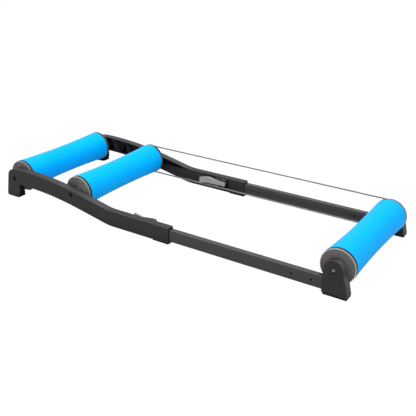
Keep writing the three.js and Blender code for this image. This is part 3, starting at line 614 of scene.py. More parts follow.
def lever_plastic(g, where):
    """Mid grey moulded plastic with a light grain."""
    grain = g.noise(where, scale=1200.0, detail=3.0, roughness=0.6)
    cloud = g.noise(where, scale=60.0, detail=2.0)
    share = g.spread(cloud * 0.6 + grain * 0.4, 0.35, 0.65)
    g.finish(
        Base_Color=g.blend(share, paint("lever", 0.86), paint("lever")),
        Roughness=g.spread(grain, 0.3, 0.7, 0.42, 0.58),
        Normal=g.bump(grain, strength=0.3, distance=0.0002),
    )


def rubber_finish(g, where):
    """Matt black rubber with a dusty grain."""
    grain = g.noise(where, scale=1600.0, detail=4.0, roughness=0.65)
    dust = g.noise(where, scale=90.0, detail=4.0, roughness=0.6)
    g.finish(
        Base_Color=g.blend(g.spread(dust, 0.45, 0.75), paint("rubber"), paint("rubber", 2.2)),
        Roughness=g.spread(dust * 0.5 + grain * 0.5, 0.3, 0.7, 0.72, 0.92),
        Specular_IOR_Level=0.1,
        Normal=g.bump(grain, strength=0.4, distance=0.0003),
    )


def belt_cord(g, where):
    """Smooth drawn cord with a faint die line along it."""
    die = g.noise(where, scale=(4.0, 1900.0, 1900.0), detail=2.0)
    cloud = g.noise(where, scale=35.0, detail=2.0)
    g.finish(
        Base_Color=g.blend(g.spread(cloud, 0.4, 0.6), paint("belt"), paint("belt", 1.3)),
        Roughness=g.spread(die * 0.5 + cloud * 0.5, 0.35, 0.65, 0.16, 0.28),
        Normal=g.bump(die, strength=0.15, distance=0.0001),
    )


def plated_steel(g, where, centre=None):
    """Zinc-plated steel with turning marks; a bolt at the centre given has painted shade in its socket,
    and the rails' bolts, deep in their recesses, are darkened all over by painted shade."""
    turning = g.noise(where, scale=(500.0, 3200.0, 500.0), detail=2.0)
    cloud = g.noise(where, scale=160.0, detail=3.0)
    tint = g.blend(g.spread(cloud, 0.35, 0.65), paint("steel", 0.78), paint("steel"))
    if centre:
        x, _, z = g.parts(where)
        socket = settings("axle").socket_radius
        outside = g.spread(distance_from(centre, x, z), socket * 0.9, socket * 1.1)
        # Painted shade: the hexagon socket is darkened
        painted_shade = paint("steel", 0.05)
        tint = g.blend(outside, painted_shade, tint)
        # Painted shade: the rails' bolts, deep in their recesses, are darkened all over
        if centre != AXLE["front"]:
            tint = g.blend(0.65, tint, painted_shade)
    g.finish(
        Base_Color=tint,
        Roughness=g.spread(turning * 0.6 + cloud * 0.4, 0.35, 0.65, 0.22, 0.4),
        Metallic=1.0,
        Normal=g.bump(turning, strength=0.15, distance=0.0001),
    )


FINISHES = {
    "drum_blue": drum_plastic,
    "cap_grey": turned_plastic,
    "frame_black": grained_plastic,
    "tube_paint": powder_coat,
    "lever_grey": lever_plastic,
    "rubber_black": rubber_finish,
    "belt_grey": belt_cord,
    "steel": plated_steel,
}
MADE = {}


def finish_named(kind, roller=None):
    """The material of a finish, made once, or once for each roller that it is turned about."""
    name = f"{kind}_{roller}" if roller else kind
    if name not in MADE:
        MADE[name] = bpy.data.materials.new(name)
        graph = Graph(MADE[name], "Principled BSDF")
        centre = [AXLE[roller]] if roller else []
        FINISHES[kind](graph, graph.coordinate("Object"), *centre)
    return MADE[name]


# Shapes. Points of outlines are (X from the rear axle, Z from the floor).


def mix(a, b, share):
    return a + (b - a) * share


def tidy(bm):
    """Merges doubles and turns the faces outwards."""
    bmesh.ops.remove_doubles(bm, verts=bm.verts, dist=1e-6)
    bmesh.ops.recalc_face_normals(bm, faces=bm.faces)
    return bm


def of_kind(items, kind):
    return [item for item in items if isinstance(item, kind)]


def round_edges(bm, edges, radius, segments):
    bmesh.ops.bevel(
        bm, geom=edges, offset=radius, segments=segments, profile=0.5, affect="EDGES", material=-1
    )


def lathe(profile, facets, closed=True):
    """Turns a profile of (radius, distance along Y) about the Y axis."""
    bm = bmesh.new()
    points = [bm.verts.new((radius, y, 0.0)) for radius, y in profile]
    pairs = list(zip(points, points[1:]))
    if closed:
        pairs.append((points[-1], points[0]))
    edges = [bm.edges.new(pair) for pair in pairs]
    bmesh.ops.spin(
        bm,
        geom=points + edges,
        cent=(0, 0, 0),
        axis=(0, 1, 0),
        angle=math.tau,
        steps=facets,
        use_merge=True,
        use_duplicate=False,
    )
    return tidy(bm)


def thickened(points, move, edge=0.0, segments=2):
    """A flat outline made thick by a move, with its two rims rounded."""
    bm = bmesh.new()
    face = bm.faces.new([bm.verts.new(point) for point in points])
    made = bmesh.ops.extrude_face_region(bm, geom=[face])["geom"]
    bmesh.ops.translate(bm, verts=of_kind(made, bmesh.types.BMVert), vec=move)
    if edge:
        way = Vector(move).normalized()
        rims = [e for e in bm.edges if abs((e.verts[0].co - e.verts[1].co).dot(way)) < edge / 2]
        round_edges(bm, rims, edge, segments)
    return tidy(bm)


def prism(outline, start, end, edge=0.0, segments=2):
    """An outline in X and Z made thick along Y."""
    return thickened([(x, start, z) for x, z in outline], (0, end - start, 0), edge, segments)


def slab(plan, bottom, top):
    """A plan in X and Y made thick along Z."""
    return thickened([(x, y, bottom) for x, y in plan], (0, 0, top - bottom))


def bar(section, start, end, edge=0.0):
    """A section in Y and Z, about an inner tube's centre line, made long along X."""
    y = settings("rail").centre
    z = tube_height()
    return thickened([(start, y + across, z + up) for across, up in section], (end - start, 0, 0), edge)


def rounded_section(half_width, half_height, corner, steps=5):
    """Points of a rounded rectangle, as (Y, Z) about its centre."""
    points = []
    for across, up, start in ((1, 1, 0.0), (-1, 1, 0.25), (-1, -1, 0.5), (1, -1, 0.75)):
        for step in range(steps + 1):
            turn = (start + step / steps / 4) * math.tau
            y = across * (half_width - corner) + corner * math.cos(turn)
            z = up * (half_height - corner) + corner * math.sin(turn)
            points.append((y, z))
    return points


def brick(x0, x1, y0, y1, z0, z1, edge=0.0):
    """A box between two corners, with rounded edges."""
    bm = bmesh.new()
    bmesh.ops.create_cube(bm, size=1.0)
    bmesh.ops.scale(bm, verts=bm.verts, vec=(x1 - x0, y1 - y0, z1 - z0))
    middle = ((x0 + x1) / 2, (y0 + y1) / 2, (z0 + z1) / 2)
    bmesh.ops.translate(bm, verts=bm.verts, vec=middle)
    if edge:
        round_edges(bm, bm.edges, edge, segments=2)
    return tidy(bm)


def cylinder(radius, start, end, facets):
    bm = bmesh.new()
    bmesh.ops.create_cone(
        bm, cap_ends=True, segments=facets, radius1=radius, radius2=radius, depth=end - start
    )
    return bm


def peg(radius, x, z, start, end, facets):
    """A cylinder along Y."""
    bm = cylinder(radius, start, end, facets)
    bmesh.ops.rotate(bm, verts=bm.verts, matrix=Matrix.Rotation(math.pi / 2, 3, "X"))
    bmesh.ops.translate(bm, verts=bm.verts, vec=(x, (start + end) / 2, z))
    return tidy(bm)


def stake(radius, x, y, bottom, top, facets=24):
    """A cylinder along Z."""
    bm = cylinder(radius, bottom, top, facets)
    bmesh.ops.translate(bm, verts=bm.verts, vec=(x, y, (bottom + top) / 2))
    return tidy(bm)


def curve_points(a, b, c, d, steps=14):
    """Points of a cubic curve in X and Z."""
    knots = [Vector((x, z, 0.0)) for x, z in (a, b, c, d)]
    return [(p.x, p.y) for p in interpolate_bezier(*knots, steps)]


def object_of(bm, name):
    mesh = bpy.data.meshes.new(name)
    bm.to_mesh(mesh)
    bm.free()
    made = bpy.data.objects.new(name, mesh)
    bpy.context.scene.collection.objects.link(made)
    return made


def discard(made):
    mesh = made.data
    bpy.data.objects.remove(made)
    bpy.data.meshes.remove(mesh)


def combined(base, changes):
    """A base shape after a list of changes, each (CUT, JOIN or KEEP, shape)."""
    work = object_of(base, "work")
    for operation, shape in changes:
        tool = object_of(shape, "tool")
        step = work.modifiers.new("change", "BOOLEAN")
        step.operation = operation
        step.solver = "EXACT"
        step.object = tool
        bpy.context.view_layer.update()
        seen = work.evaluated_get(bpy.context.evaluated_depsgraph_get())
        changed = bpy.data.meshes.new_from_object(seen)
        work.modifiers.clear()
        before = work.data
        work.data = changed
        bpy.data.meshes.remove(before)
        discard(tool)
    bm = bmesh.new()
    bm.from_mesh(work.data)
    discard(work)
    bmesh.ops.dissolve_limit(bm, angle_limit=0.002, verts=bm.verts, edges=bm.edges)
    return tidy(bm)


def bolt_head(face, out, radius, height, chamfer, socket_radius, socket_depth, facets):
    """A head on the Y axis with a hexagon socket; out is 1 where its face looks along +Y, or -1."""
    back = face - out * height
    edge = face - out * chamfer
    outline = [(0.0, face), (radius - chamfer, face), (radius, edge), (radius, back), (0.0, back)]
    ends = sorted((face - out * socket_depth, face + out * height))
    socket = peg(socket_radius, 0.0, 0.0, *ends, facets=6)
    return combined(lathe(outline, facets, closed=False), [(CUT, socket)])


def put(bm, side=1, x=0.0, z=0.0):
    """Turns a left-hand shape over for the right side, and moves it from the rear axle's frame."""
    if side < 0:
        bmesh.ops.scale(bm, vec=(1, -1, 1), verts=bm.verts)
        bmesh.ops.recalc_face_normals(bm, faces=bm.faces)
    bmesh.ops.translate(bm, verts=bm.verts, vec=(AXLE["rear"].x + x, 0, z))
    return bm


def put_on_axle(bm, roller, side=1):
    return put(bm, side, ALONG[roller], AXLE_HEIGHT)


def show(bm, node, part, kind, body, roller=None, crease=32.0, soften=0.0):
    """Makes the visible piece that stands for a frame node, and sets it on its body if one is given."""
    piece = object_of(bm, f"{node}_{part}")
    piece.data.materials.append(finish_named(kind, roller))
    for face in piece.data.polygons:
        face.use_smooth = True
    piece.data.set_sharp_from_angle(angle=math.radians(crease))
    if soften:
        rounding = piece.modifiers.new("edges", "BEVEL")
        rounding.width = soften
        rounding.segments = 2
        rounding.limit_method = "ANGLE"
        rounding.angle_limit = math.radians(40)
        rounding.harden_normals = True
        rounding.miter_outer = "MITER_ARC"
    else:
        piece.modifiers.new("normals", "WEIGHTED_NORMAL").keep_sharp = True
    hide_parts(node)
    if body:
        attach(piece, body)
    return piece


# Places that several pieces share, from the middle plane, the floor or the rear axle


def faces_of(width):
    """The inner and outer face of a piece of some width, centred over a rail."""
    centre = settings("rail").centre
    return centre - width / 2, centre + width / 2


def tube_height():
    """The height of the inner tubes' centre line."""
    tube = settings("tube")
    return tube.bottom + tube.height / 2


def tube_ends(word):
    """Where a side's inner tube starts and ends, from the rear axle."""
    return [corner[0] - AXLE["rear"].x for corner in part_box(f"inner_tube_{word}")]


def bearing_face():
    """From the middle plane to a bearing's outer face."""
    return settings("drum").cap_face - BEARING_INSET


def bearing_seat():
    """From the middle plane to the step behind a bearing."""
    return bearing_face() - BEARING_LENGTH - settings("rail").gap


def groove_middle():
    """From the middle plane to the middle of the belt's groove."""
    drum, rail = settings("drum", "rail")
    return (drum.half_length + rail.gap + drum.flange + drum.cap_face - drum.rim) / 2


# Rollers


class ROLLERS_OT_drums(Operator):
    """Make the three waisted drums"""

    bl_idname = "rollers.drums"
    bl_label = "Drums"

    def execute(self, context):
        drum = settings("drum")
        half = drum.half_length
        outside = []
        for step in range(1, DRUM_STEPS):
            share = 2 * step / DRUM_STEPS - 1
            radius = mix(drum.waist_radius, drum.end_radius, share * share)
            outside.append((radius, share * half))
        outline = [
            (drum.end_radius - drum.edge, -half),
            (drum.end_radius, drum.edge - half),
            *outside,
            (drum.end_radius, half - drum.edge),
            (drum.end_radius - drum.edge, half),
            (drum.end_radius - drum.wall, half),
            (drum.waist_radius - drum.wall, 0.0),
            (drum.end_radius - drum.wall, -half),
        ]
        for roller in ROLLERS:
            bm = put_on_axle(lathe(outline, drum.facets), roller)
            show(bm, f"{roller}_drum", "shell", "drum_blue", f"{roller}_roller")
        return {"FINISHED"}


class ROLLERS_OT_end_caps(Operator):
    """Make the six end caps with their belt grooves and rings"""

    bl_idname = "rollers.end_caps"
    bl_label = "End caps"

    def inside(self):
        """The bearing's stop, the hub and the spigot in the drum."""
        drum, axle = settings("drum", "axle")
        spigot = drum.end_radius - drum.wall - SPIGOT_GAP
        spigot_end = drum.half_length - SPIGOT_DEPTH
        web_back = drum.cap_face - drum.dish - WEB
        return [
            (axle.bearing_radius - BEARING_STOP, drum.cap_face - HUB_DEPTH),
            (drum.hub_radius, drum.cap_face - HUB_DEPTH),
            (drum.hub_radius, web_back),
            (spigot - SPIGOT_WALL, web_back),
            (spigot - SPIGOT_WALL, spigot_end),
            (spigot, spigot_end),
        ]

    def outside(self):
        """The flange, the belt's groove and the rim."""
        drum, belt, rail = settings("drum", "belt", "rail")
        spigot = drum.end_radius - drum.wall - SPIGOT_GAP
        start = drum.half_length + rail.gap
        outline = [
            (spigot, start),
            (drum.cap_radius - drum.edge, start),
            (drum.cap_radius, start + drum.edge),
            (drum.cap_radius, start + drum.flange - drum.flange_slope),
        ]
        middle = groove_middle()
        floor = drum.cap_radius - drum.groove
        reach = belt.radius + rail.gap
        for step in range(GROOVE_STEPS + 1):
            turn = math.pi * step / GROOVE_STEPS
            outline.append((floor + reach * (1 - math.sin(turn)), middle - reach * math.cos(turn)))
        outline.append((drum.cap_radius, drum.cap_face - drum.rim + drum.rim_slope))
        for step in range(RIM_STEPS + 1):
            turn = math.pi / 2 * step / RIM_STEPS
            radius = drum.cap_radius - drum.rim_round * (1 - math.cos(turn))
            outline.append((radius, drum.cap_face - drum.rim_round * (1 - math.sin(turn))))
        return outline

    def face(self):
        """The sunk face with its rings, and the collar round the bearing."""
        drum, axle, rail = settings("drum", "axle", "rail")
        web = drum.cap_face - drum.dish
        rim_inner = drum.cap_radius - RIM_WIDTH
        outline = [(rim_inner, drum.cap_face), (rim_inner - RIM_STEP, web)]
        ring_outer = rim_inner - RING_MARGIN
        pitch = (ring_outer - drum.hub_radius - HUB_MARGIN) / drum.ring_count
        for ring in range(drum.ring_count):
            edge = ring_outer - ring * pitch
            outline.append((edge, web))
            outline.append((edge - RING_SLOPE, web + drum.ring_height))
            outline.append((edge - RING_WIDTH + RING_SLOPE, web + drum.ring_height))
            outline.append((edge - RING_WIDTH, web))
        collar = drum.cap_face + drum.hub_stand
        bore = axle.bearing_radius + rail.gap
        return outline + [
            (drum.hub_radius + HUB_FOOT[0], web),
            (drum.hub_radius, web + HUB_FOOT[1]),
            (drum.hub_radius, collar - HUB_EDGE),
            (drum.hub_radius - HUB_EDGE, collar),
            (bore + HUB_EDGE, collar),
            (bore, collar - HUB_EDGE),
            (bore, bearing_seat()),
            (axle.bearing_radius - BEARING_STOP, bearing_seat()),
        ]

    def execute(self, context):
        outline = self.inside() + self.outside() + self.face()
        for roller, word, side in ENDS:
            bm = put_on_axle(lathe(outline, settings("drum").facets), roller, side)
            name = f"{roller}_end_cap_{word}"
            show(bm, name, "turned", "cap_grey", f"{roller}_roller", roller, crease=24.0)
        return {"FINISHED"}


class ROLLERS_OT_bearings(Operator):
    """Make the six ball bearings"""

    bl_idname = "rollers.bearings"
    bl_label = "Bearings"

    def execute(self, context):
        axle = settings("axle")
        face = bearing_face()
        back = face - BEARING_LENGTH
        sunk = face - axle.shield
        outer, inner = axle.bearing_radius, axle.bearing_bore
        soft = BEARING_EDGE
        outline = [
            (inner, back),
            (outer, back),
            (outer, face - soft),
            (outer - soft, face),
            (outer - axle.race, face),
            (outer - axle.race, sunk),
            (outer - axle.race - soft, sunk + soft),
            (inner + axle.race + soft, sunk + soft),
            (inner + axle.race, sunk),
            (inner + axle.race, face),
            (inner + soft, face),
            (inner, face - soft),
        ]
        for roller, word, side in ENDS:
            bm = put_on_axle(lathe(outline, facets=48), roller, side)
            show(bm, f"{roller}_bearing_{word}", "ring", "steel", f"{roller}_roller")
        return {"FINISHED"}


class ROLLERS_OT_axles(Operator):
    """Make the three axles and their six bolts"""

    bl_idname = "rollers.axles"
    bl_label = "Axles and bolts"

    def rod(self, end):
        axle = settings("axle")
        step = bearing_seat()
        half = [
            (0.0, end),
            (axle.axle_radius - axle.chamfer, end),
            (axle.axle_radius, end - axle.chamfer),
            (axle.axle_radius, step),
            (axle.shoulder_radius - axle.chamfer, step),
            (axle.shoulder_radius, step - axle.chamfer),
        ]
        return lathe(half + [(radius, -y) for radius, y in reversed(half)], facets=40, closed=False)

    def bolt(self, face):
        a = settings("axle")
        socket = (a.socket_radius, a.socket_depth)
        return bolt_head(face, 1, a.head_radius, a.head_height, a.chamfer, *socket, facets=40)

    def execute(self, context):
        rail, tube, axle = settings("rail", "tube", "axle")
        rail_end = faces_of(rail.width)[1] - rail.recess_depth + rail.gap
        foot_end = faces_of(tube.foot_width)[1] - tube.recess_depth + rail.gap
        for roller in ROLLERS:
            front = roller == "front"
            end = foot_end if front else rail_end
            body = "front_frame" if front else "rear_frame"
            show(put_on_axle(self.rod(end), roller), f"{roller}_axle", "rod", "steel", body)
            for word, side in SIDES:
                bm = put_on_axle(self.bolt(end + axle.head_height + rail.gap), roller, side)
                show(bm, f"{roller}_axle_bolt_{word}", "head", "steel", body, roller)
        return {"FINISHED"}


class ROLLERS_OT_belt(Operator):
    """Make the round drive belt"""

    bl_idname = "rollers.belt"
    bl_label = "Drive belt"

    def half_turn(self, bm, edges, x):
        """Spins the belt's end half way round a drum, and returns the new end's edges."""
        steps = settings("belt").arc_steps
        made = bmesh.ops.spin(
            bm,
            geom=list({v for edge in edges for v in edge.verts}) + edges,
            cent=(x, groove_middle(), AXLE_HEIGHT),
            axis=(0, 1, 0),
            angle=math.pi,
            steps=steps,
            use_duplicate=False,
        )["geom_last"]
        return of_kind(made, bmesh.types.BMEdge)

    def run(self, bm, edges, length):
        """Extrudes the belt's end along X in short cuts, and returns the new end's edges."""
        cuts = settings("belt").run_steps
        for _ in range(cuts):
            made = bmesh.ops.extrude_edge_only(bm, edges=edges)["geom"]
            moved = of_kind(made, bmesh.types.BMVert)
            bmesh.ops.translate(bm, verts=moved, vec=(length / cuts, 0, 0))
            edges = [e for e in of_kind(made, bmesh.types.BMEdge) if moved.count(e.verts[0])]
            edges = [e for e in edges if moved.count(e.verts[1])]
        return edges

    def execute(self, context):
        belt, drum = settings("belt", "drum")
        middle = groove_middle()
        line = drum.cap_radius - drum.groove + belt.groove_gap + belt.radius
        bm = bmesh.new()
        ring = bmesh.ops.create_circle(bm, segments=belt.sides, radius=belt.radius)["verts"]
        bmesh.ops.rotate(bm, verts=ring, matrix=Matrix.Rotation(math.pi / 2, 3, "Y"))
        bmesh.ops.translate(bm, verts=ring, vec=(REACH, middle, AXLE_HEIGHT + line))
        end = self.half_turn(bm, list(bm.edges), REACH)
        end = self.run(bm, end, SPAN - REACH)
        end = self.half_turn(bm, end, SPAN)
        self.run(bm, end, REACH - SPAN)
        bmesh.ops.remove_doubles(bm, verts=bm.verts, dist=2e-5)
        bmesh.ops.recalc_face_normals(bm, faces=bm.faces)
        cord = show(put(bm), "drive_belt", "cord", "belt_grey", None)
        cord.modifiers.clear()
        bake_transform(cord)
        return {"FINISHED"}


# Rails


def bend(drop_rear, drop_front):
    """Points along the rail's bend, dropped from its top."""
    rail = settings("rail")
    knots = []
    for along, fall in BEND:
        x = mix(rail.bend_start, rail.bend_end, along)
        drop = mix(drop_rear, drop_front, along)
        knots.append((x, mix(rail.high_top, rail.low_top, fall) - drop))
    return curve_points(*knots[:4]) + curve_points(*knots[4:])


def pocket(bite):
    """The pocket over the tube's channel; a bite makes it larger, for cutting the ribs to fit."""
    rail, tube = settings("rail", "tube")
    wall = rail.wall - bite
    start = rail.ribs_start - bite
    roof = tube.bottom + tube.height + tube.channel_gap + rail.roof - bite
    top = bend(rail.lip - bite, rail.lip - bite)
    upper = [point for point in top if point[1] > roof]
    crossing = max(x for x, _ in upper)
    under = bend(rail.depth_rear - wall, rail.depth_front - wall)
    lower = [(start, max(under[0][1], roof))]
    lower += [(x, max(z, roof)) for x, z in under if x < crossing]
    inner, outer = faces_of(rail.width)
    near = inner + rail.edge if bite else inner - rail.width
    return prism(lower + upper[::-1] + [(start, top[0][1])], near, outer - rail.skin + bite)


def leaning_rib(index):
    """One of the pocket's ribs, which lean to and fro."""
    rail = settings("rail")
    pitch = (rail.ribs_end - rail.ribs_start) / rail.rib_count
    start = rail.ribs_start + index * pitch
    low, high = (start + pitch, start) if index % 2 else (start, start + pitch)
    half = rail.rib / 2
    bottom = rail.low_top / 2
    outline = [
        (low - half, bottom),
        (low + half, bottom),
        (high + half, rail.high_top),
        (high - half, rail.high_top),
    ]
    inner, outer = faces_of(rail.width)
    return combined(prism(outline, inner + rail.rib_inset, outer), [(KEEP, pocket(RIB_BITE))])


def foot_block_outline(grow):
    """The rubber block in the rail's leg, seen from the side."""
    rail = settings("rail")
    return [
        (-rail.foot_back - grow, -grow),
        (rail.foot_contact + grow, -grow),
        (rail.foot_step + grow, rail.foot_step_height - grow),
        (rail.leg_front + grow, rail.foot_step_height - grow),
        (rail.leg_front + grow, rail.foot_top + grow),
        (-rail.foot_back - grow, rail.foot_top + grow),
    ]


class ROLLERS_OT_outer_rails(Operator):
    """Make the two outer rails"""

    bl_idname = "rollers.outer_rails"
    bl_label = "Outer rails"

    def outline(self):
        rail = settings("rail")
        under = bend(rail.depth_rear, rail.depth_front)
        under_start = under[0][1]
        heel = rail.leg_bottom + rail.leg_radius
        back = curve_points(
            (rail.bend_start, rail.high_top),
            (0.0, rail.high_top),
            (rail.shoulder_in - rail.back_top, rail.high_top - rail.shoulder_drop),
            (-rail.back_top, rail.back_height),
        )
        sole = curve_points(
            (-rail.back, heel),
            (-rail.back, mix(heel, rail.leg_bottom, HEEL_KNOTS[0])),
            (mix(-rail.back, -rail.back + rail.leg_radius, HEEL_KNOTS[1]), rail.leg_bottom),
            (-rail.back + rail.leg_radius, rail.leg_bottom),
            steps=6,
        )
        return [
            *sole,
            (rail.leg_front - rail.toe_run, rail.leg_bottom),
            (rail.leg_front, rail.leg_bottom + rail.toe_rise),
            (rail.leg_front, under_start - rail.wall),
            (rail.leg_front + rail.wall, under_start),
            *under,
            (rail.end, rail.low_top - rail.depth_front),
            (rail.end, rail.low_top),
            *bend(0.0, 0.0)[::-1],
            *back[1:],
        ]

    def lug(self):
        """The rounded lug under the rail's first bend."""
        rail = settings("rail")
        top = bend(rail.depth_rear - rail.wall, rail.depth_front)[0][1]
        start, end, bottom = rail.lug_start, rail.lug_end, rail.lug_bottom
        outline = [(start, top)]
        outline += curve_points(
            (start, bottom + rail.lug_radius / 2),
            (start, bottom),
            (start, bottom),
            (start + rail.lug_radius, bottom),
            steps=8,
        )
        outline += curve_points(
            (end - rail.lug_curve, bottom),
            (end - rail.lug_curve / 2, bottom),
            (end - rail.lug_curve / 5, mix(bottom, top, LUG_RISE)),
            (end, top),
            steps=8,
        )
        half = rail.width / 2 - rail.lug_inset
        return prism(outline, rail.centre, rail.centre + half, LUG_EDGE)

    def rail(self):
        rail, tube = settings("rail", "tube")
        inner, outer = faces_of(rail.width)
        beyond = rail.width / 4
        channel_half = tube.width / 2 + tube.channel_gap
        changes = [(CUT, pocket(0.0))]
        changes += [(JOIN, leaning_rib(index)) for index in range(rail.rib_count)]
        changes.append((JOIN, self.lug()))
        collar_start = bearing_face() + rail.gap
        for x in (0.0, SPAN):
            boss = peg(rail.boss_radius, x, AXLE_HEIGHT, inner + rail.gap, outer - rail.edge, facets=48)
            collar = peg(rail.collar_radius, x, AXLE_HEIGHT, collar_start, outer - rail.edge, facets=40)
            changes += [(JOIN, boss), (JOIN, collar)]
        channel = brick(
            rail.leg_front + rail.wall,
            rail.end + beyond,
            rail.centre - channel_half,
            rail.centre + channel_half,
            tube.bottom - tube.channel_gap,
            tube.bottom + tube.height + tube.channel_gap,
        )
        foot_outer = rail.centre + rail.foot_outer + rail.gap
        foot = prism(foot_block_outline(rail.gap), inner - beyond, foot_outer)
        changes += [(CUT, channel), (CUT, foot)]
        for x in (0.0, SPAN):
            bore = peg(BORE_RADIUS, x, AXLE_HEIGHT, inner - rail.width, outer + beyond, facets=40)
            recess_start = outer - rail.recess_depth
            recess = peg(rail.recess_radius, x, AXLE_HEIGHT, recess_start, outer + beyond, facets=48)
            changes += [(CUT, bore), (CUT, recess)]
        window_end = rail.centre - channel_half + beyond
        changes.append((CUT, shoe_block(inner - beyond, window_end, rail.gap)))
        changes += screw_holes(inner - beyond)
        return combined(prism(self.outline(), inner, outer, rail.edge, segments=3), changes)

    def execute(self, context):
        for word, side in SIDES:
            bm = put(self.rail(), side)
            show(bm, f"outer_rail_{word}", "moulding", "frame_black", "rear_frame", crease=28.0)
        return {"FINISHED"}


class ROLLERS_OT_rail_rubber(Operator):
    """Make the rails' rubber feet and pads and the lining of their mouths"""

    bl_idname = "rollers.rail_rubber"
    bl_label = "Feet, pads and guides"

    def foot(self):
        rail = settings("rail")
        inner = rail.centre - rail.foot_inner
        return prism(foot_block_outline(0.0), inner, rail.centre + rail.foot_outer, FOOT_EDGE)

    def pad(self):
        rail = settings("rail")
        top = rail.low_top - rail.depth_front - rail.gap
        start = rail.end - rail.pad_length
        outline = [
            (start + PAD_SLOPE, 0.0),
            (rail.end - PAD_SLOPE, 0.0),
            (rail.end - rail.gap, top),
            (start, top),
        ]
        inner = rail.centre - rail.foot_inner
        return prism(outline, inner, rail.centre + rail.pad_outer, PAD_EDGE)

    def mouth_guide(self):
        rail, tube = settings("rail", "tube")
        half_width = tube.width / 2 + tube.channel_gap - rail.gap
        half_height = tube.height / 2 + tube.channel_gap - rail.gap
        lining = tube.channel_gap - 2 * rail.gap
        start = rail.end - rail.guide_length
        body = bar(rounded_section(half_width, half_height, GUIDE_EDGE), start, rail.end)
        hollow = rounded_section(half_width - lining, half_height - lining, tube.corner)
        return combined(body, [(CUT, bar(hollow, start - PAST, rail.end + PAST))])

    def execute(self, context):
        for word, side in SIDES:
            for shape, name, part in (
                (self.foot(), "rear_foot", "block"),
                (self.pad(), "middle_pad", "strip"),
                (self.mouth_guide(), "mouth_guide", "lining"),
            ):
                show(put(shape, side), f"{name}_{word}", part, "rubber_black", "rear_frame")
        return {"FINISHED"}


# Inner tubes and front feet


class ROLLERS_OT_inner_tubes(Operator):
    """Make the two inner tubes and their glides"""

    bl_idname = "rollers.inner_tubes"
    bl_label = "Inner tubes"

    def section(self, inset, corner_inset):
        tube = settings("tube")
        corner = tube.corner - corner_inset
        return rounded_section(tube.width / 2 - inset, tube.height / 2 - inset, corner)

    def tube(self, start, end):
        rail, tube = settings("rail", "tube")
        hollow = bar(self.section(tube.wall, tube.wall), start - tube.width, end + tube.width)
        changes = [(CUT, hollow)]
        near, far = rail.centre - tube.width, rail.centre + tube.width
        for hole in range(3):
            x = REACH - hole * tube.hole_pitch
            changes.append((CUT, peg(tube.hole_radius, x, tube_height(), near, far, facets=24)))
        return combined(bar(self.section(0.0, 0.0), start, end, TUBE_EDGE), changes)

    def glide(self, start):
        rail, tube = settings("rail", "tube")
        flange = bar(self.section(0.0, 0.0), start - GLIDE_FLANGE, start, GLIDE_EDGE)
        plug = bar(self.section(tube.wall + rail.gap, tube.wall), start - OVERLAP, start + GLIDE_PLUG)
        return combined(flange, [(JOIN, plug)])

    def execute(self, context):
        for word, side in SIDES:
            start, end = tube_ends(word)
            tube = put(self.tube(start, end), side)
            show(tube, f"inner_tube_{word}", "painted", "tube_paint", "front_frame")
            glide = put(self.glide(start - settings("rail").gap), side)
            show(glide, f"tube_glide_{word}", "plug", "frame_black", "front_frame")
        return {"FINISHED"}


